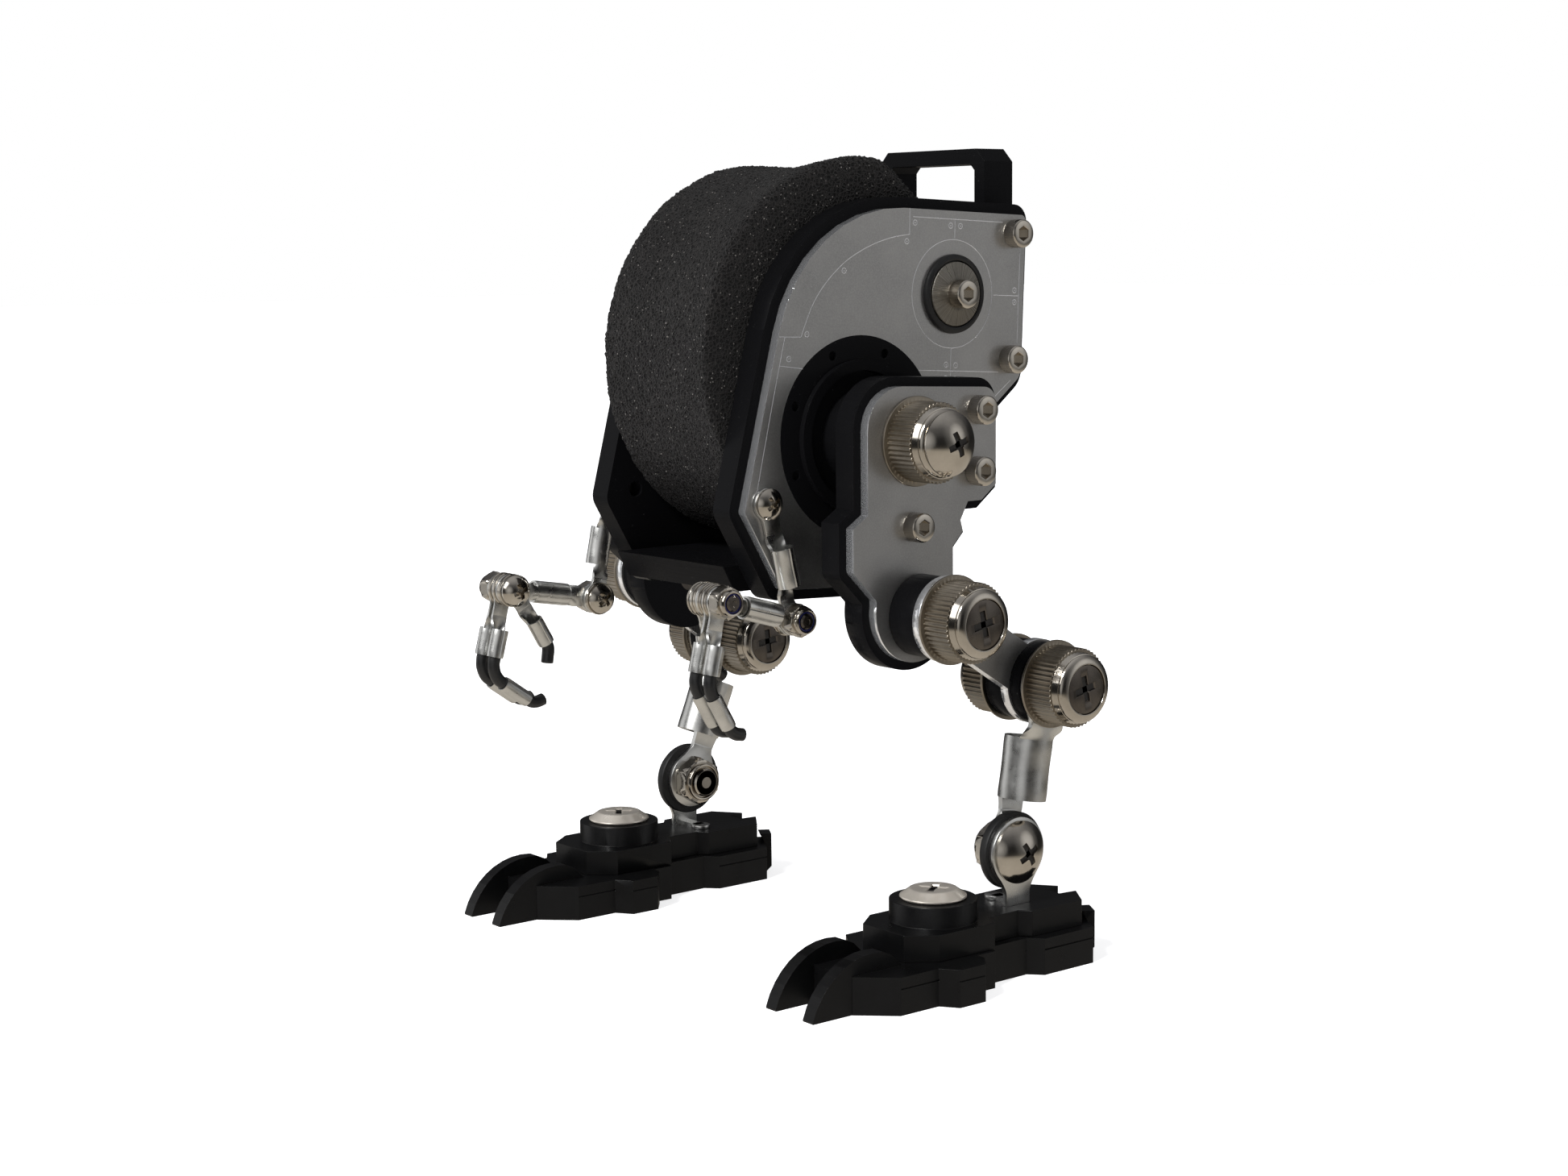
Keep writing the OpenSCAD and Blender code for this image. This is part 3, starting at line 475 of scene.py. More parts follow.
def ring_and_neck(ring_r, hole_r, thick, width, end):
    """Flat ring whose shoulders sweep into a neck along +Z that stops at end."""
    half, n, bends = width / 2, 40, 6
    reach, rise = 0.78, 0.62
    corner = Vector((reach * ring_r, rise * ring_r))
    slide = (corner.x - half) / rise
    elbow = Vector((half, corner.y + reach * slide))
    neck = Vector((half, min(end, max(1.22 * ring_r, elbow.y + 0.2))))
    sweep = [corner.lerp(elbow, t).lerp(elbow.lerp(neck, t), t) for t in (k / bends for k in range(1, bends + 1))]
    start = math.atan2(rise, reach)
    whole = math.pi + 2 * start
    turns = [start - whole * k / n for k in range(n + 1)]
    loop = [(ring_r * math.cos(t), ring_r * math.sin(t)) for t in turns]
    loop += [(-p.x, p.y) for p in sweep]
    if end - neck.y > 0.01:
        loop += [(-half, end), (half, end)]
    loop += [(p.x, p.y) for p in reversed(sweep)]
    return plate([loop, circle(hole_r)], 0, thick, min(0.12, thick / 4))


def terminal(ring_r, hole_r, thick, width, z0, z1, radius, wall=0.42):
    """Whole ring terminal: the barrel lies on the +X side of its flat part."""
    flare = min(z0 - ring_r * 0.55, 2.6)
    neck = ring_and_neck(ring_r, hole_r, thick, width, z0 - flare + 0.05)
    return neck + scoop(width, thick, radius, z0 - flare, z0 + 0.25) + barrel(radius, z0, z1, radius, wall)


def arm_pair(length, z0, z1, radius=2.2, thick=0.8):
    """Two terminals joined barrel in barrel, with a ring at each end."""
    near = terminal(3, M3_HOLE, thick, 3.6, z0, z1, radius)
    far = terminal(3, M3_HOLE, thick, 3.2, length - z1, length - z1 + 3, radius - 0.45, 0.35)
    over = Matrix.Translation((0, 0, length)) @ turn_x(180)
    return near + far.moved(over)


# ---- Procedural materials ----
class Nodes:
    """Short way to write the node tree of a material or of the world."""

    def __init__(self, name, world=None):
        self.material = world or bpy.data.materials.new(name)
        self.material.use_nodes = True
        self.tree = self.material.node_tree
        self.shader = self.tree.nodes.get("Principled BSDF")

    def new(self, kind, inputs=None, **settings):
        node = self.tree.nodes.new(kind)
        for key, value in settings.items():
            setattr(node, key, value)
        for key, value in (inputs or {}).items():
            self.put(node.inputs[key], value)
        return node

    def put(self, socket, value):
        if isinstance(value, bpy.types.NodeSocket):
            self.tree.links.new(value, socket)
        else:
            socket.default_value = value

    def set(self, **values):
        """Links or plain values on the shader's own sockets."""
        for key, value in values.items():
            self.put(self.shader.inputs[key.replace("_", " ")], value)

    def place(self):
        return self.new("ShaderNodeTexCoord").outputs["Object"]

    def scaled(self, vector, scale):
        return self.new("ShaderNodeMapping", {"Vector": vector, "Scale": scale}).outputs["Vector"]

    def noise(self, vector, scale, detail=3.0, rough=0.55):
        inputs = {"Vector": vector, "Scale": scale, "Detail": detail, "Roughness": rough}
        return self.new("ShaderNodeTexNoise", inputs).outputs["Fac"]

    def spread(self, value, low, high, to_low=0.0, to_high=1.0):
        inputs = {"Value": value, "From Min": low, "From Max": high, "To Min": to_low, "To Max": to_high}
        return self.new("ShaderNodeMapRange", inputs).outputs["Result"]

    def math(self, operation, a, b):
        return self.new("ShaderNodeMath", {0: a, 1: b}, operation=operation).outputs["Value"]

    def mix(self, factor, a, b, blend="MIX"):
        inputs = {"Factor": factor, "A": a, "B": b}
        return self.new("ShaderNodeMix", inputs, data_type="RGBA", blend_type=blend).outputs["Result"]

    def cells(self, vector, scale, feature="F1"):
        return self.new("ShaderNodeTexVoronoi", {"Vector": vector, "Scale": scale}, feature=feature).outputs

    def bump(self, height, distance, strength):
        inputs = {"Height": height, "Distance": distance, "Strength": strength}
        return self.new("ShaderNodeBump", inputs).outputs["Normal"]

    def side_mask(self):
        """1 on faces that stand along the sheet's thickness and 0 on its flat faces."""
        normal = self.new("ShaderNodeNewGeometry").outputs["Normal"]
        x = self.new("ShaderNodeSeparateXYZ", {"Vector": normal}).outputs["X"]
        return self.spread(self.math("ABSOLUTE", x, 0.0), 0.5, 0.8, 1.0, 0.0)


def rgb(r, g, b):
    return (r, g, b, 1.0)


def black_sheet():
    """Glossy black sheet: faint smears and dust on its faces, cutting lines across its edges."""
    n = Nodes("black_sheet")
    at = n.place()
    smear = n.noise(n.scaled(at, (60, 60, 25)), 1.6, 4, 0.6)
    dust = n.noise(at, 1400, 2, 0.5)
    edge = n.side_mask()
    lines = n.noise(n.scaled(at, (40, 1500, 1500)), 1, 2, 0.6)
    base = n.mix(n.spread(dust, 0.72, 0.8), rgb(0.0045, 0.0045, 0.005), rgb(0.03, 0.03, 0.03))
    rough = n.math("ADD", n.spread(smear, 0.35, 0.7, 0.13, 0.26), n.math("MULTIPLY", edge, 0.12))
    n.set(Base_Color=base, Roughness=rough, Normal=n.bump(n.math("MULTIPLY", lines, edge), 0.00006, 0.5))
    n.set(Specular_IOR_Level=0.03)
    return n.material


def silver_sheet():
    """Satin silver sheet under a clear skin, with fine metallic grain and bright polished edges."""
    n = Nodes("silver_sheet")
    at = n.place()
    grain = n.noise(at, 3200, 2, 0.7)
    cloud = n.noise(at, 55, 4, 0.6)
    edge = n.side_mask()
    face = n.mix(n.spread(cloud, 0.3, 0.7), rgb(0.27, 0.267, 0.262), rgb(0.36, 0.355, 0.348))
    face = n.mix(n.spread(grain, 0.4, 0.75, 0.0, 0.35), face, rgb(0.5, 0.49, 0.48))
    base = n.mix(edge, face, rgb(0.88, 0.89, 0.91))
    rough = n.math("ADD", n.spread(cloud, 0.3, 0.7, 0.27, 0.36), n.math("MULTIPLY", edge, -0.14))
    n.set(Base_Color=base, Metallic=0.9, Roughness=rough, Normal=n.bump(grain, 0.00002, 0.25))
    n.set(Coat_Weight=0.2, Coat_Roughness=0.12)
    return n.material


def engraving_metal():
    """Cut in the silver sheet, lighter than the sheet as a painted highlight where its lip catches light."""
    n = Nodes("engraving_metal")
    at = n.place()
    n.set(Base_Color=n.mix(n.noise(at, 900, 2), rgb(0.48, 0.48, 0.49), rgb(0.66, 0.66, 0.68)), Metallic=0.7,
          Roughness=n.spread(n.noise(at, 300, 3), 0.3, 0.7, 0.22, 0.38))
    return n.material


def plated(name, low, high, rough_low, rough_high, metallic=1.0):
    """Plated metal: cloudy tint, patchy gloss and fine scratches."""
    n = Nodes(name)
    at = n.place()
    cloud = n.noise(at, 160, 5, 0.62)
    fine = n.noise(n.scaled(at, (1, 1, 0.15)), 5200, 2, 0.5)
    n.set(Base_Color=n.mix(n.spread(cloud, 0.3, 0.7), rgb(*low), rgb(*high)), Metallic=metallic,
          Roughness=n.spread(cloud, 0.3, 0.72, rough_low, rough_high), Normal=n.bump(fine, 0.00001, 0.3))
    return n.material


def tinned():
    """Tin plate: cool and bright, with drawn streaks along Z and dull handling marks."""
    n = Nodes("tinned")
    at = n.place()
    streak = n.noise(n.scaled(at, (2600, 2600, 260)), 1, 4, 0.6)
    marks = n.noise(at, 320, 4, 0.6)
    tint = n.mix(n.spread(marks, 0.35, 0.7), rgb(0.6, 0.6, 0.585), rgb(0.74, 0.74, 0.72))
    tint = n.mix(n.spread(marks, 0.7, 0.8, 0.0, 0.35), tint, rgb(0.24, 0.23, 0.21))
    n.set(Base_Color=tint, Metallic=1.0, Roughness=n.spread(marks, 0.3, 0.7, 0.24, 0.34),
          Normal=n.bump(streak, 0.00001, 0.3))
    return n.material


def spun_metal():
    """Washer steel with fine streaks that run out from the eye screw."""
    n = Nodes("spun_metal")
    away = n.new("ShaderNodeVectorMath", {0: n.place(), 1: (0, EYE[0] * MM, EYE[1] * MM)}, operation="SUBTRACT")
    parts = n.new("ShaderNodeSeparateXYZ", {"Vector": away.outputs["Vector"]}).outputs
    angle = n.math("ARCTAN2", parts["Y"], parts["Z"])
    round_it = n.new("ShaderNodeCombineXYZ", {"X": angle}).outputs["Vector"]
    streak = n.noise(round_it, 26, 4, 0.7)
    tint = n.mix(n.spread(streak, 0.35, 0.65), rgb(0.14, 0.128, 0.11), rgb(0.34, 0.32, 0.285))
    n.set(Base_Color=tint, Metallic=1.0, Roughness=n.spread(streak, 0.3, 0.7, 0.22, 0.4),
          Normal=n.bump(streak, 0.0002, 0.5))
    return n.material


def foam_material():
    """Open-cell foam: paler cell walls round hollows that are painted darker as shade, with sparse bright specks.
    """
    n = Nodes("foam")
    at = n.place()
    cell = n.cells(at, 1250.0, "DISTANCE_TO_EDGE")["Distance"]
    pore = n.cells(at, 2600.0)["Distance"]
    dots = n.cells(at, 2300.0)
    chance = n.new("ShaderNodeSeparateColor", {"Color": dots["Color"]}).outputs["Red"]
    bright = n.spread(dots["Distance"], 0.22, 0.42, 1.0, 0.0)
    speck = n.math("MULTIPLY", n.spread(chance, 0.93, 0.97), bright)
    patch = n.noise(at, 90, 4, 0.6)
    wall = n.mix(n.spread(patch, 0.3, 0.7), rgb(0.0125, 0.0112, 0.0108), rgb(0.0205, 0.0184, 0.0178))
    # Painted shade: each cell's hollow, away from its walls, goes near black where the bump sinks it.
    tint = n.mix(n.spread(cell, 0.0, 0.2), wall, rgb(0.0035, 0.0032, 0.0033))
    tint = n.mix(n.spread(pore, 0.1, 0.5, 0.5, 0.0), tint, rgb(0.012, 0.011, 0.011))
    tint = n.mix(speck, tint, rgb(0.17, 0.158, 0.147))
    height = n.math("SUBTRACT", n.spread(cell, 0.0, 0.3, 1.0, 0.0), n.math("MULTIPLY", pore, 0.6))
    n.set(Base_Color=tint, Roughness=n.spread(cell, 0.0, 0.3, 0.72, 0.98), Normal=n.bump(height, 0.0004, 0.9))
    n.set(Sheen_Weight=0.03, Sheen_Roughness=0.5, Specular_IOR_Level=0.2)
    return n.material


def dull(name, low, high, rough_low, rough_high, scale, bump, specular=0.5):
    """Rubber, wire insulation or matt plastic: fine skin texture and patchy sheen."""
    n = Nodes(name)
    at = n.place()
    skin = n.noise(at, scale, 3, 0.6)
    patch = n.noise(at, 180, 4, 0.6)
    rough = n.spread(patch, 0.3, 0.7, rough_low, rough_high)
    n.set(Base_Color=n.mix(patch, rgb(*low), rgb(*high)), Roughness=rough, Normal=n.bump(skin, bump, 0.4))
    n.set(Specular_IOR_Level=specular)
    return n.material


M = {
    "black": black_sheet(),
    "silver": silver_sheet(),
    "engraving": engraving_metal(),
    "nickel": plated("nickel", (0.45, 0.415, 0.365), (0.58, 0.54, 0.48), 0.1, 0.18),
    "knurled": plated("knurled_nickel", (0.24, 0.212, 0.172), (0.36, 0.32, 0.265), 0.3, 0.42),
    "satin": plated("satin_nickel", (0.6, 0.555, 0.49), (0.7, 0.65, 0.58), 0.2, 0.3, metallic=0.55),
    "spun": spun_metal(),
    "dark": plated("dark_plate", (0.09, 0.078, 0.068), (0.16, 0.142, 0.125), 0.18, 0.32),
    "tinned": tinned(),
    "foam": foam_material(),
    "foot": dull("foot_plastic", (0.002, 0.002, 0.0022), (0.004, 0.004, 0.0042), 0.26, 0.4, 2600, 0.00002, 0.2),
    "rubber": dull("rubber", (0.004, 0.004, 0.0045), (0.008, 0.008, 0.008), 0.4, 0.58, 1500, 0.00003, 0.35),
    "wire": dull("wire_sleeve", (0.004, 0.004, 0.0045), (0.008, 0.008, 0.0085), 0.26, 0.42, 1100, 0.00003),
    # Painted shade: near-black colour for the solids that fill the cross recesses.
    "shade": dull("recess_shade", (0.004, 0.0035, 0.003), (0.012, 0.01, 0.009), 0.4, 0.6, 900, 0.00002),
    "copper": plated("copper", (0.45, 0.19, 0.1), (0.62, 0.3, 0.17), 0.25, 0.4),
    "insert": dull("nylon_insert", (0.004, 0.005, 0.05), (0.008, 0.01, 0.09), 0.3, 0.45, 900, 0.00002),
}


# ---- Making pieces ----
def piece(name, shape, material, body, *stands_for, sharp=32):
    """Add a piece that rides body and stands for CAD nodes; edges over sharp degrees stay sharp."""
    mesh = to_mesh(shape, name)
    mesh.shade_smooth()
    mesh.set_sharp_from_angle(angle=math.radians(sharp))
    mesh.materials.append(M[material])
    obj = add_object(name, mesh)
    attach(obj, body)
    if stands_for:
        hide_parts(*stands_for)
    return obj


def side_piece(side, place, name, shape, material, body, *stands_for, sharp=32):
    """Add a piece of one side, moved to its place; names are given without the side."""
    nodes = (f"{node}_{side}" for node in stands_for)
    return piece(f"{name}_{side}", shape.moved(place), material, f"{body}_{side}", *nodes, sharp=sharp)


def keep(node, material, bevel=0.12):
    """Dress a CAD node that stays: material, welded mesh and softly broken edges."""
    obj = frame["nodes"][node]
    obj.data.materials.clear()
    obj.data.materials.append(M[material])
    weld = obj.modifiers.new("weld", "WELD")
    weld.merge_threshold = 2e-6
    edge = obj.modifiers.new("edge", "BEVEL")
    edge.width, edge.segments, edge.limit_method = bevel * MM, 2, "ANGLE"
    edge.angle_limit, edge.harden_normals, edge.use_clamp_overlap = math.radians(40), True, True


def mirrored(shape, sign):
    return shape if sign > 0 else shape.moved(FLIP_X)


# ---- Body ----
for side in SIDES:
    keep(f"side_plate_{side}", "black")
    keep(f"side_cover_{side}", "silver", 0.1)
for node in ("hub_discs", "handle", "floor_panel"):
    keep(node, "black")
keep("cross_spacers", "nickel")


def foam_roll():
    """Foam roll with a dished tread and soft rims; its skin is broken up by its open cells."""
    around, across, flank = 640, 96, 16
    rim, dish, bulge, blend = 1.3, 1.3, 0.45, 1.6
    centre = Vector((0, *FOAM_AT))
    shape = Shape()
    for i in range(around):
        a = TAU * i / around
        out = Vector((0, math.cos(a), math.sin(a)))
        for k in range(across + 1):
            u = 2 * k / across - 1
            inner = 1 - max(0, (abs(u) * FOAM_HALF - (FOAM_HALF - rim)) / rim)
            drop = rim - math.sqrt(max(0, 1 - (1 - inner) ** 2)) * rim
            r, flat_at = FOAM_R + bulge * u, FOAM_FLAT / max(0.1, math.cos(a - FLAT_TURN))
            r = min(r, flat_at) - max(0, blend - abs(r - flat_at)) ** 2 / (4 * blend)
            r -= dish * math.cos(math.pi * u / 2) ** 1.5 + drop
            p = centre + Vector((FOAM_HALF * u, 0, 0)) + r * out
            grain = noise.noise(p * 1.9) * 0.5 + noise.noise(p * 3.6 + centre) * 0.4
            shape.points.append(p + out * max(-0.5, min(0.4, grain * 0.6 + noise.noise(p * 0.14) * 0.25)))
    row = across + 1
    for i in range(around):
        j = (i + 1) % around
        shape.faces += [(i * row + k, j * row + k, j * row + k + 1, i * row + k + 1) for k in range(across)]
    for edge in (0, across):
        last = [i * row + edge for i in range(around)]
        for f in range(flank, 0, -1):
            ring = []
            for i in last:
                p = shape.points[i]
                ring.append(len(shape.points))
                inward = p + (centre - p) * (1 / (f + 1))
                shape.points.append(Vector((p.x, inward.y, inward.z)))
            shape.faces += skin([last, ring])
            last = ring
        shape.faces.append(tuple(last))
    return shape


roll = piece("foam_roll_cells", foam_roll(), "foam", "torso", "foam_roll", sharp=80)


# Cut lines of a cover as (y, z) points, in the cover's own plane
ARC_CUT = [(15.1, 137.7), (11.6, 137.3), (7.3, 136.3), (3.0, 134.7), (-1.3, 132.4), (-5.4, 129.0), (-8.4, 125.4),
           (-10.3, 121.8), (-11.5, 119.1)]
CUTS = [
    [(15.2, 142.6), (15.1, 137.7)], [(-16.6, 119.3), (-11.5, 119.1)],
    [(-15.3, 119.2), (-18.6, 106.1), (-22.2, 91.0)], [(-16.6, 114.0), (-11.2, 113.3)],
    [(16.0, 141.0), (39.2, 139.9)], [(26.7, 140.4), (26.6, 136.9)], [(43.9, 134.6), (43.1, 116.4)],
    [(36.7, 125.9), (43.4, 125.6)], [(25.6, 115.8), (25.4, 110.4)], [(17.3, 112.0), (38.0, 110.9)],
    [(36.4, 105.6), (41.4, 109.2)],
]
DOTS = [(16.5, 139.9), (14.4, 136.4), (-1.1, 131.1), (-10.1, 119.6), (-14.4, 115.2), (25.6, 139.3), (28.1, 139.2),
        (42.4, 126.7), (42.4, 124.4), (24.3, 112.8), (26.8, 112.6), (24.2, 110.2), (26.6, 110.0)]


def smooth_line(points, steps=6):
    """Catmull-Rom line through (y, z) points."""
    out = []
    for i in range(len(points) - 1):
        p = [points[max(0, min(len(points) - 1, i + k))] for k in (-1, 0, 1, 2)]
        for s in range(steps):
            t = s / steps
            out.append(tuple(0.5 * (2 * p[1][c] + (p[2][c] - p[0][c]) * t
                                    + (2 * p[0][c] - 5 * p[1][c] + 4 * p[2][c] - p[3][c]) * t * t
                                    + (3 * p[1][c] - p[0][c] - 3 * p[2][c] + p[3][c]) * t ** 3) for c in (0, 1)))
    return out + [points[-1]]


def cut_line(points, width=0.22, closed=False):
    """Low rounded bead that stands for the lip of an engraved line; its lighter colour is a painted highlight."""
    section = ((-0.5, -0.05), (-0.3, 0.02), (0, 0.035), (0.3, 0.02), (0.5, -0.05))
    shape, count = Shape(), len(points)
    for i, p in enumerate(points):
        a = points[(i + 1) % count] if closed or i < count - 1 else p
        b = points[i - 1] if closed or i > 0 else p
        d = Vector((a[0] - b[0], a[1] - b[1])).normalized()
        for s, h in section:
            shape.points.append(Vector((COVER_X + h, p[0] - d.y * s * width, p[1] + d.x * s * width)))
    rows = rows_of(count, len(section))
    shape.faces = skin(rows + rows[:1]) if closed else capped_skin(rows)
    return shape


def cover_cuts():
    shape = cut_line(smooth_line(ARC_CUT))
    for line in CUTS:
        shape += cut_line(smooth_line(line, 2))
    shape += cut_line(circle(10.35, EYE, 96), closed=True)
    for dot in DOTS:
        shape += cut_line(circle(0.5, dot, 20), 0.24, closed=True)
        shape += lathe([(-0.05, 0), (-0.05, 0.2), (0.03, 0.12), (0.05, 0)], 12).at(COVER_X, *dot)
    return shape


COVER_CUTS = cover_cuts()
GROMMET = lathe([(0, 2.2), (0, 7.5), (0.35, 7.6), (0.8, 7.5), (1.1, 7.15), (1.2, 6.75), (1.05, 6.4), (0.6, 6.3),
                 (0.6, 2.2)], 80, through=True).at(COVER_X, *EYE)
CUP = lathe([(0.6, 1.56), (0.6, 6.0), (0.7, 6.18), (1.02, 6.2), (1.16, 6.08), (1.2, 5.85), (1.24, 5.5), (1.6, 3.5),
             (1.68, 3.15), (1.7, 2.9), (1.7, 1.56)], 96, through=True).at(COVER_X, *EYE)
for side, sign in SIDES.items():
    piece(f"cover_cuts_{side}", mirrored(COVER_CUTS, sign), "engraving", "torso", sharp=60)


def on_both_sides(*shapes):
    return sum((mirrored(shape, sign) for sign in SIDES.values() for shape in shapes), Shape())


shoulder = joint_at("shoulder", "left")
CAP_SCREWS = [CAP_LONG.at(x, *at) for at, x in ((REAR_TOP, COVER_X), (REAR_LOW, COVER_X), (EYE, COVER_X + 1.7))]
piece("eye_grommet_rings", on_both_sides(GROMMET), "rubber", "torso", "eye_grommets")
piece("body_screws", on_both_sides(*CAP_SCREWS), "nickel", "torso", "body_fasteners")
piece("eye_washers", on_both_sides(CUP), "spun", "torso")
piece("shoulder_pan_screws", on_both_sides(SHOULDER_DOME.at(COVER_X + 0.9, shoulder.y, shoulder.z)), "nickel",
      "torso", "shoulder_screws")


# ---- Legs; each piece is made in the left leg's place and turned into the right leg's ----
def leg_place(side, pivot, nxt):
    """Matrix from the left leg's place to this side's, for a part that hangs from pivot."""
    if side == "left":
        return Matrix.Identity(4)
    home, there = joint_at(pivot, "left"), joint_at(pivot, "right")
    move = Matrix.Translation((0, there.y - home.y, there.z - home.z))
    shift = Matrix.Translation((0, home.y, home.z))
    angle = slope(pivot, nxt, "right") - slope(pivot, nxt, "left") if nxt else 0
    return FLIP_X @ move @ shift @ Matrix.Rotation(angle, 4, "X") @ shift.inverted()


def shin_shapes():
    """Large terminal with its ring at the hock and a smaller one from its barrel to the ankle."""
    hock, ankle = joint_at("hock", "left"), joint_at("ankle", "left")
    length = math.hypot(hock.y - ankle.y, hock.z - ankle.z)
    lean = math.atan2(hock.y - ankle.y, hock.z - ankle.z)
    ring_out, big_r = 52.8, 4.65
    big = terminal(7.3, M6_HOLE, 1.2, 8.0, 10.6, 22.4, big_r, 0.85)
    big = big.moved(FLIP_X).moved(turn_x(180)).at(ring_out, 0, length)
    ring_x, thick, half_neck = 44.9, 1.1, 2.6
    small_r, barrel_x = 3.5, ring_out - big_r
    wall_x = barrel_x - small_r
    low = ring_and_neck(5.9, M6_HOLE, thick, 2 * half_neck, 7.6).at(ring_x, 0, 0)
    joggle, rows = Shape(), 10
    for i in range(rows + 1):
        s = i / rows
        ease = s * s * (3 - 2 * s)
        x = ring_x + (wall_x - ring_x) * ease
        z = 7.55 + 3.7 * s
        half = half_neck + 0.35 * ease
        joggle.points += [Vector((x, -half, z)), Vector((x + thick, -half, z)), Vector((x + thick, half, z)),
                          Vector((x, half, z))]
    joggle.faces = capped_skin(rows_of(rows + 1, 4))
    inner = barrel(small_r, 10.9, 15.5, barrel_x, 0.7, 0.04, 180)
    stand = Matrix.Translation((0, ankle.y, ankle.z)) @ Matrix.Rotation(-lean, 4, "X")
    return big.moved(stand), (low + joggle + inner).moved(stand)


SHIN_BIG, SHIN_SMALL = shin_shapes()
# Top of the foot's boss, the foot's ring tab and the lug at its root, and the ankle bolt's head
BOSS_AT, TAB_X, TAB_T, TAB_LOW = (46, 1, 16), 47.9, 1.1, 9.1
LUG_X, LUG_Z, LUG_T, BOLT_X = 42.5, 12, 0.8, 49
for side in SIDES:
    hip, knee, hock, ankle = (joint_at(n, "left") for n in ("hip", "knee", "hock", "ankle"))
    on_thigh, on_link = leg_place(side, "hip", "knee"), leg_place(side, "knee", "hock")
    on_shin, on_foot = leg_place(side, "hock", "ankle"), leg_place(side, "ankle", None)
    for node, material, bevel in (("thigh_plate", "black", 0.12), ("thigh_cover", "silver", 0.1),
                                  ("link_plate", "silver", 0.12), ("link_spacers", "black", 0.2),
                                  ("foot_sole", "foot", 0.14), ("foot_block", "foot", 0.14),
                                  ("ankle_disc", "rubber", 0.25)):
        keep(f"{node}_{side}", material, bevel)
    caps = sum((CAP_SHORT.at(THIGH_X, *at) for at in THIGH_SCREWS), Shape())
    side_piece(side, on_thigh, "thigh_cap_screws", caps, "nickel", "thigh", "thigh_fasteners")
    for name, shape, x, material, *node in (
            ("hip_recess_shade", HIP_SHADE, THIGH_X + KNOB_LEN, "shade"),
            ("hip_dome_screw", HIP_DOME, THIGH_X + KNOB_LEN, "nickel"),
            ("hip_knob_neck", NECK, THIGH_X, "nickel", "hip_knob"),
            ("hip_knob_knurled", DRUM, THIGH_X, "knurled")):
        side_piece(side, on_thigh, name, shape.at(x, hip.y, hip.z), material, "thigh", *node)
    drums, necks, heads, shades = Shape(), Shape(), Shape(), Shape()
    reach = KNOB_LEN - KNOB_SOCKET
    for x, at, inwards in ((LINK_X, knee, False), (HOCK_OUT_X, hock, False), (HOCK_IN_X, hock, True)):
        turn = FLIP_X if inwards else Matrix.Identity(4)
        drums += DRUM.moved(turn).at(x, at.y, at.z)
        necks += NECK_CUPPED.moved(turn).at(x, at.y, at.z)
        face_x = x - reach if inwards else x + reach
        heads += FLAT_HEAD.moved(turn).at(face_x, at.y, at.z)
        shades += FLAT_SHADE.moved(turn).at(face_x, at.y, at.z)
    for x0, x1, at in ((34, LINK_X + reach, knee), (35.5, HOCK_OUT_X + reach, hock)):
        heads += lathe([(x0, 0), (x0, M6_R), (x1, M6_R), (x1, 0)], 40).at(0, at.y, at.z)
    side_piece(side, on_link, "link_knob_necks", necks, "nickel", "link", "link_knobs")
    side_piece(side, on_link, "link_knobs_knurled", drums, "knurled", "link")
    side_piece(side, on_link, "link_flat_screws", heads, "dark", "link", "link_screws")
    side_piece(side, on_link, "link_recess_shades", shades, "shade", "link")
    side_piece(side, on_shin, "shin_terminal_large", SHIN_BIG, "tinned", "shin", "shin_terminals")
    side_piece(side, on_shin, "shin_terminal_small", SHIN_SMALL, "tinned", "shin")

    # Foot: flat screw in the boss, upright ring tab, ankle bolt and its nut
    boss = on_foot @ Matrix.Translation(BOSS_AT) @ Matrix.Rotation(math.radians(-90), 4, "Y")
    side_piece(side, boss, "foot_flat_screw", FOOT_HEAD, "satin", "foot", "foot_screw")
    side_piece(side, boss, "foot_recess_shade", FOOT_SHADE, "shade", "foot")
    tab = ring_and_neck(6.6, M6_THREAD, TAB_T, 6, ankle.z - TAB_LOW)
    tab = tab.moved(turn_x(180)).at(TAB_X, ankle.y, ankle.z)
    lug = plate([circle(2.0, (ankle.y, 0), 32)], 0, LUG_T, 0.1)
    lug = lug.moved(Matrix(((0, 0, -1, 0), (0, 1, 0, 0), (1, 0, 0, 0), (0, 0, 0, 1)))).at(LUG_X, 0, LUG_Z)
    strip = box(LUG_X, TAB_X + 0.1, ankle.y - 1.2, ankle.y + 1.2, LUG_Z, LUG_Z + LUG_T)
    side_piece(side, on_foot, "foot_ring_tab", tab + lug + strip, "tinned", "foot", "foot_terminal")
    bolt = (ANKLE_DOME.at(BOLT_X, 0, 0) + lock_nut(M6_THREAD, 3.1, 9, 0.95).moved(FLIP_X).at(44.85, 0, 0)
            + bolt_end(M6_R, 0, 3.6).moved(FLIP_X).at(43.8, 0, 0))
    at_ankle = on_foot @ Matrix.Translation((0, ankle.y, ankle.z))
    side_piece(side, at_ankle, "ankle_recess_shade", ANKLE_SHADE.at(BOLT_X, 0, 0), "shade", "foot")
    side_piece(side, at_ankle, "ankle_pan_bolt", bolt, "nickel", "foot", "ankle_bolt")


# ---- Arms ----
UPPER_X, FORE_X, RING_T, SNUG = 24.05, 24.95, 0.8, 0.05
THUMB_X, FINGER_X, FINGER_T = 23.05, (26.65, 28.15), 0.6
BARREL_R, WIRE_R, THIN_WALL = 1.65, 1.2, 0.38
FINGER_SWEEP, TIP_SWEEP, TIP_BEND, THUMB_SWEEP = 4.2, 3.0, 50, 2.4
# An M3 lock nut: radius of its thread, height, width across its flats and height of its collar
NUT = (M3_THREAD, 2.6, 5.5, 1.15)
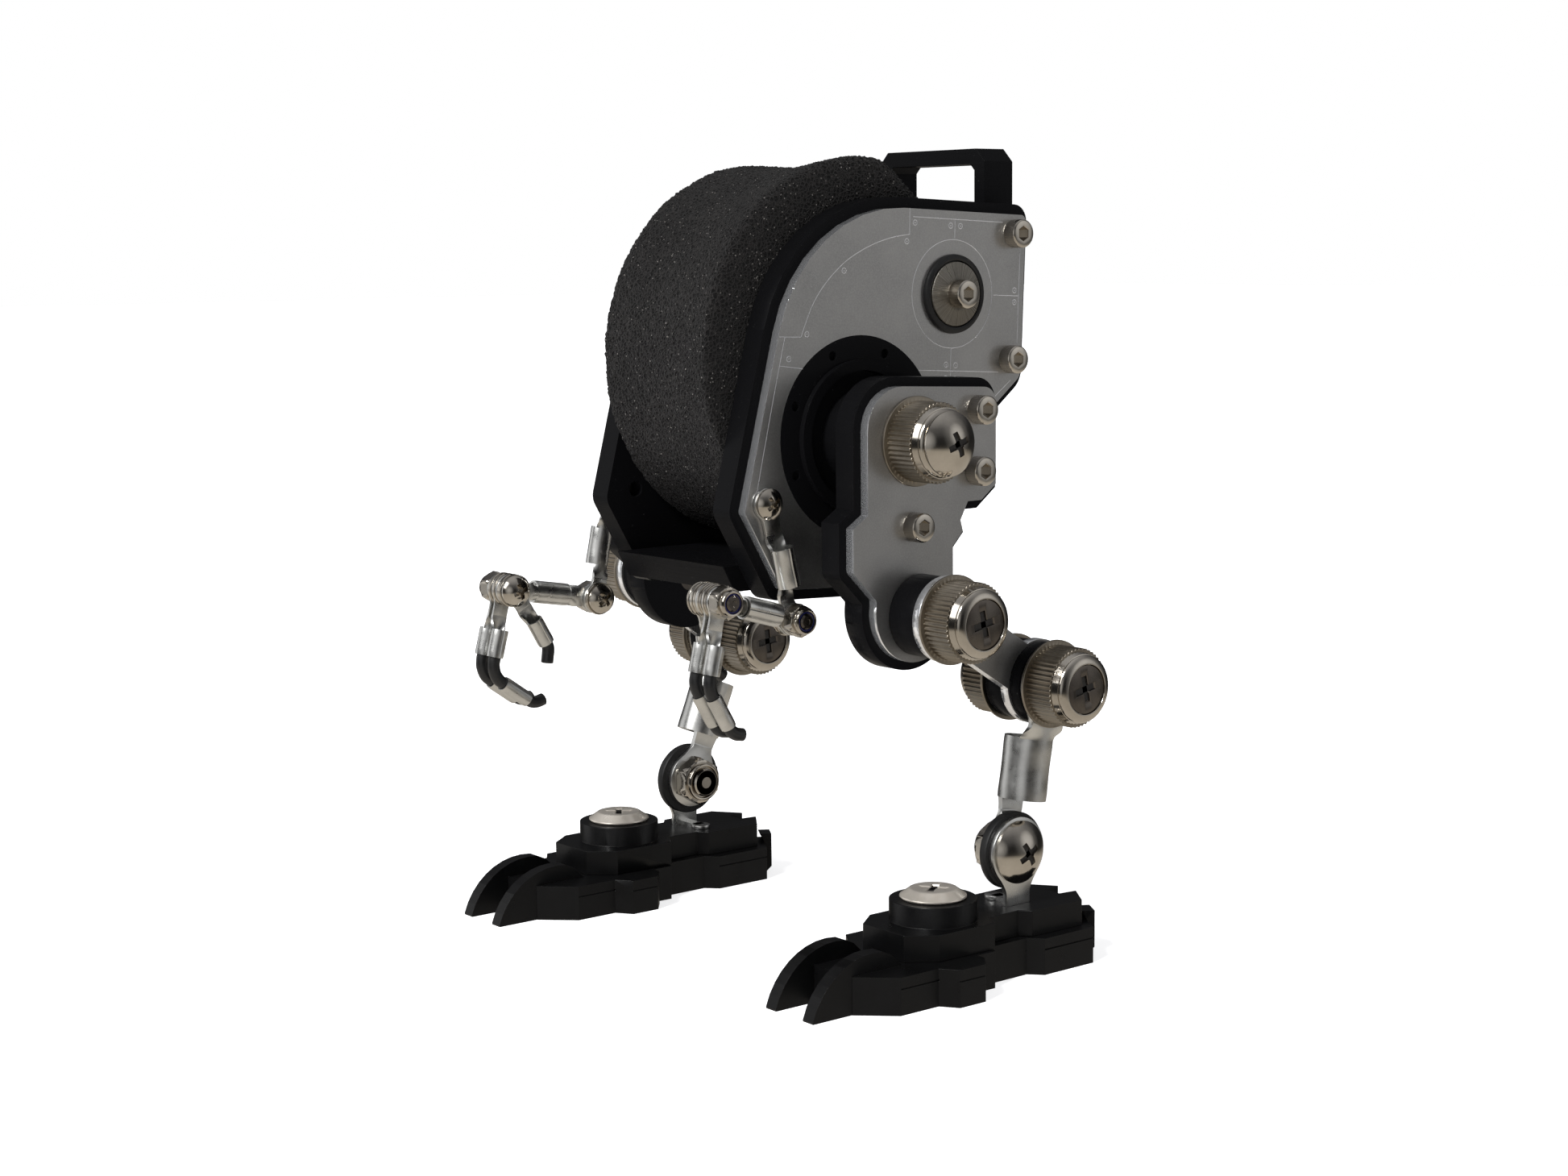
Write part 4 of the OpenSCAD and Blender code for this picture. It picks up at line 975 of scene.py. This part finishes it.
# Lean and bend of the fingers, then of the thumb, in degrees
HAND = {"left": (14, 44, 12, 42), "right": (15, 70, 30, -38)}
FINGER_BARREL, THUMB_BARREL, GRIP, FERRULE = (7.9, 13.3), (6.8, 12.2), 2.9, 6.6


def planar_path(legs, step=0.35):
    """Points in the (y, z) plane from the origin along +Z. Each leg is (length, 0) for a straight or
    (radius, degrees) for an arc that turns towards +Y."""
    path, heading = [Vector((0, 0, 0))], 0.0
    for size, turn in legs:
        if turn == 0:
            n = max(1, round(size / step))
            for _ in range(n):
                path.append(path[-1] + size / n * Vector((0, math.sin(heading), math.cos(heading))))
            continue
        total = math.radians(turn)
        n = max(4, round(abs(total) * size / step))
        chord = 2 * size * math.sin(abs(total) / n / 2)
        for _ in range(n):
            heading += total / n / 2
            path.append(path[-1] + chord * Vector((0, math.sin(heading), math.cos(heading))))
            heading += total / n / 2
    return path, heading


def wire_shape(legs):
    """Insulated wire with softly irregular thickness and rounded ends."""
    path, heading = planar_path(legs)
    last = len(path) - 1
    radii = [WIRE_R * (1 + 0.035 * noise.noise(Vector((i * 0.31, 4.7, len(path))))) for i in range(last + 1)]
    tip = Vector((0, math.sin(heading), math.cos(heading)))
    path = [path[0]] + path + [path[-1] + tip * 0.12]
    radii = [WIRE_R * 0.8] + radii + [WIRE_R * 0.84]
    return tube_along(path, radii), path[-1], heading


def ferrule():
    """Crimped end sleeve, slightly flared at its mouth and squeezed in its middle."""
    return barrel(1.5, 0, FERRULE, 0, 0.26, 0.07, 90)


def small_terminal(z0, z1):
    return terminal(2.9, M3_HOLE, FINGER_T, 3.2, z0, z1, BARREL_R, THIN_WALL)


def bolt_rings(x0, x1):
    """Two washers, the second a little smaller, that fill the gap from x0 to x1."""
    mid, half_gap = (x0 + x1) / 2, 0.03
    return washer(x0, mid - half_gap, 3.2, M3_THREAD) + washer(mid + half_gap, x1, 3.05, M3_THREAD)


OVER = Matrix.Translation((FINGER_T, 0, 0)) @ FLIP_X
for side, sign in SIDES.items():
    place = Matrix.Identity(4) if sign > 0 else FLIP_X
    shoulder, elbow, wrist = (joint_at(n, side) for n in ("shoulder", "elbow", "finger_1_wrist"))
    upper, fore = elbow - shoulder, wrist - elbow
    for name, x, start, span, z0, z1 in (("upper_arm", UPPER_X, shoulder, upper, 8.3, 15.7),
                                         ("forearm", FORE_X, elbow, fore, 5.4, 13.4)):
        length = math.hypot(span.y, span.z)
        lay = Matrix.Translation((x, start.y, start.z)) @ Matrix.Rotation(math.atan2(-span.y, span.z), 4, "X")
        side_piece(side, place @ lay, f"{name}_terminals", arm_pair(length, z0, z1), "tinned", name, name)

    # Elbow and wrist bolts, seen from the robot's middle outwards
    metal, plastic, ends = Shape(), Shape(), Shape()
    for at, head, head_x, nut_x, gaps in (
            (elbow, SHOULDER_DOME, UPPER_X - 1, FORE_X + RING_T + SNUG, [(UPPER_X - 0.98, UPPER_X - SNUG)]),
            (wrist, WRIST_DOME, THUMB_X - SNUG, FINGER_X[1] + FINGER_T + SNUG,
             [(THUMB_X + FINGER_T + SNUG, FORE_X - 0.02), (FORE_X + 0.82, FINGER_X[0] - SNUG),
              (FINGER_X[0] + FINGER_T + SNUG, FINGER_X[1] - SNUG)])):
        metal += head.moved(FLIP_X).at(head_x, at.y, at.z)
        for gap in gaps:
            metal += bolt_rings(*gap).at(0, at.y, at.z)
        metal += lock_nut(*NUT).at(nut_x, at.y, at.z)
        ends += bolt_end(M3_R, head_x, nut_x + 3.95).at(0, at.y, at.z)
        plastic += nut_insert(*NUT).at(nut_x, at.y, at.z)
    side_piece(side, place, "arm_bolts_and_nuts", metal, "nickel", "forearm", "arm_bolts")
    side_piece(side, place, "arm_bolt_ends", ends, "dark", "forearm")
    side_piece(side, place, "lock_nut_inserts", plastic, "insert", "forearm")

    # Fingers and thumb
    lean, bend, thumb_lean, thumb_bend = HAND[side]
    hang = place @ Matrix.Translation((0, wrist.y, wrist.z))
    base = small_terminal(*FINGER_BARREL)
    for number, (x, flipped) in enumerate(zip(FINGER_X, (True, False)), 1):
        hand = hang @ Matrix.Translation((x, 0, 0)) @ turn_x(180 - lean)
        legs = [(GRIP + 0.6, 0), (FINGER_SWEEP, -bend), (FERRULE + 0.6, 0), (TIP_SWEEP, -TIP_BEND), (1.0, 0)]
        wire, _, _ = wire_shape(legs)
        to_ferrule, turn = planar_path(legs[:2])
        end = to_ferrule[-1]
        sleeve = ferrule().at(0, 0, 0.4).moved(Matrix.Rotation(-turn, 4, "X")).at(0, end.y, end.z)
        wire_x = FINGER_T - BARREL_R if flipped else BARREL_R
        held = hand @ Matrix.Translation((wire_x, 0, FINGER_BARREL[1] - GRIP))
        body = f"finger_{number}"
        flat_part = base.moved(OVER) if flipped else base
        side_piece(side, hand, f"{body}_terminal", flat_part, "tinned", body, body)
        side_piece(side, held, f"{body}_sleeve", sleeve, "tinned", body)
        side_piece(side, held, f"{body}_insulation", wire, "wire", body, f"{body}_wire", sharp=60)
    hand = hang @ Matrix.Translation((THUMB_X, 0, 0)) @ turn_x(180 + thumb_lean)
    held = hand @ Matrix.Translation((FINGER_T - BARREL_R, 0, THUMB_BARREL[1] - GRIP))
    wire, tip, turn = wire_shape([(GRIP + 0.2, 0), (THUMB_SWEEP, -thumb_bend), (2.2, 0)])
    ahead = Vector((0, math.sin(turn), math.cos(turn)))
    core = tube_along([tip - ahead * 0.4, tip - ahead * 0.02, tip + ahead * 0.05], [0.55, 0.55, 0.42], 16)
    side_piece(side, hand @ OVER, "thumb_terminal", small_terminal(*THUMB_BARREL), "tinned", "thumb", "thumb")
    side_piece(side, held, "thumb_insulation", wire, "wire", "thumb", "thumb_wire", sharp=60)
    side_piece(side, held, "thumb_core", core, "copper", "thumb", sharp=60)


# ---- Stage: pale floor and soft studio light ----
def add_floor():
    """Pale floor that glows a little, so that it stays even, and that polished parts don't mirror."""
    n = Nodes("floor")
    shade = n.noise(n.place(), 30, 3, 0.5)
    pale = n.mix(shade, rgb(0.78, 0.78, 0.785), rgb(0.82, 0.82, 0.825))
    n.set(Base_Color=pale, Roughness=0.9, Emission_Color=pale)
    n.set(Emission_Strength=0.95, Specular_IOR_Level=0.1)
    size = 6
    mesh = bpy.data.meshes.new("floor")
    mesh.from_pydata([(-size, -size, 0), (size, -size, 0), (size, size, 0), (-size, size, 0)], [], [(0, 1, 2, 3)])
    mesh.materials.append(n.material)
    floor = add_object("floor", mesh)
    floor.visible_glossy = False


def add_light(name, at, size, power):
    """Area light at a place in metres, aimed at the robot's middle."""
    data = bpy.data.lights.new(name, "AREA")
    data.shape, data.size, data.size_y = "RECTANGLE", *size
    data.energy = power
    lamp = add_object(name, data)
    target = Vector((0, 0, 0.08))
    lamp.location = at
    lamp.rotation_mode = "QUATERNION"
    lamp.rotation_quaternion = (target - Vector(at)).to_track_quat("-Z", "Y")


def add_sun(name, way, power, spread):
    """Sun that shines from way, as wide as spread in degrees."""
    data = bpy.data.lights.new(name, "SUN")
    data.energy, data.angle = power, math.radians(spread)
    lamp = add_object(name, data)
    lamp.rotation_mode = "QUATERNION"
    lamp.rotation_quaternion = Vector(way).to_track_quat("Z", "Y")


# Brightness of the room at each height, from straight down to straight up
ROOM = ((0.0, (0.62, 0.57, 0.5)), (0.34, (0.5, 0.46, 0.4)), (0.41, (0.035, 0.034, 0.032)),
        (0.5, (0.02, 0.02, 0.02)), (0.6, (0.03, 0.03, 0.031)), (0.8, (0.14, 0.14, 0.145)), (1.0, (0.5, 0.5, 0.51)))
# Soft glows in the room: direction, then brightness against the cosine from it
GLOWS = (((0.73, 0.61, 0.24), ((0.72, 0.0), (0.9, 0.12), (0.965, 0.5), (1.0, 0.7))),
         ((-0.775, -0.6, -0.1), ((0.88, 0.0), (0.95, 0.3), (1.0, 0.45))),
         ((0.617, -0.775, 0.12), ((0.88, 0.0), (0.97, 0.36), (1.0, 0.55))))


def add_world():
    """Dim studio with a pale ceiling, a warm bench below and soft glows; the camera sees a white backdrop."""
    world = bpy.context.scene.world = bpy.data.worlds.new("studio")
    n = Nodes("studio", world)
    way = n.new("ShaderNodeTexCoord").outputs["Generated"]

    def ramp_of(value, low, stops):
        ramp = n.new("ShaderNodeValToRGB", {"Fac": n.spread(value, low, 1.0)})
        elements = ramp.color_ramp.elements
        elements[0].position, elements[0].color = stops[0][0], rgb(*stops[0][1])
        elements[1].position, elements[1].color = stops[-1][0], rgb(*stops[-1][1])
        for at, color in stops[1:-1]:
            elements.new(at).color = rgb(*color)
        return ramp.outputs["Color"]

    light = ramp_of(n.new("ShaderNodeSeparateXYZ", {"Vector": way}).outputs["Z"], -1.0, ROOM)
    for toward, stops in GLOWS:
        axis = Vector(toward).normalized()
        beside = n.new("ShaderNodeVectorMath", {0: way, 1: axis}, operation="DOT_PRODUCT").outputs["Value"]
        light = n.mix(1.0, light, ramp_of(beside, 0.0, [(at, (v, v, v)) for at, v in stops]), "ADD")
    lit = n.tree.nodes["Background"]
    n.put(lit.inputs["Color"], light)
    seen = n.new("ShaderNodeBackground", {"Color": rgb(1, 1, 1)})
    ray = n.new("ShaderNodeLightPath").outputs["Is Camera Ray"]
    shown = n.new("ShaderNodeMixShader", {"Fac": ray, 1: lit.outputs["Background"], 2: seen.outputs["Background"]})
    n.put(n.tree.nodes["World Output"].inputs["Surface"], shown.outputs["Shader"])


add_floor()
add_world()
add_sun("key", (0.16, -0.76, 0.75), 2.4, 12)
add_light("left_box", (-0.8, -0.42, 0.26), (0.6, 0.5), 0.5)
add_light("front_window", (-0.05, -0.6, 0.5), (0.55, 0.5), 2.2)
bpy.context.scene.view_settings.view_transform = "Standard"
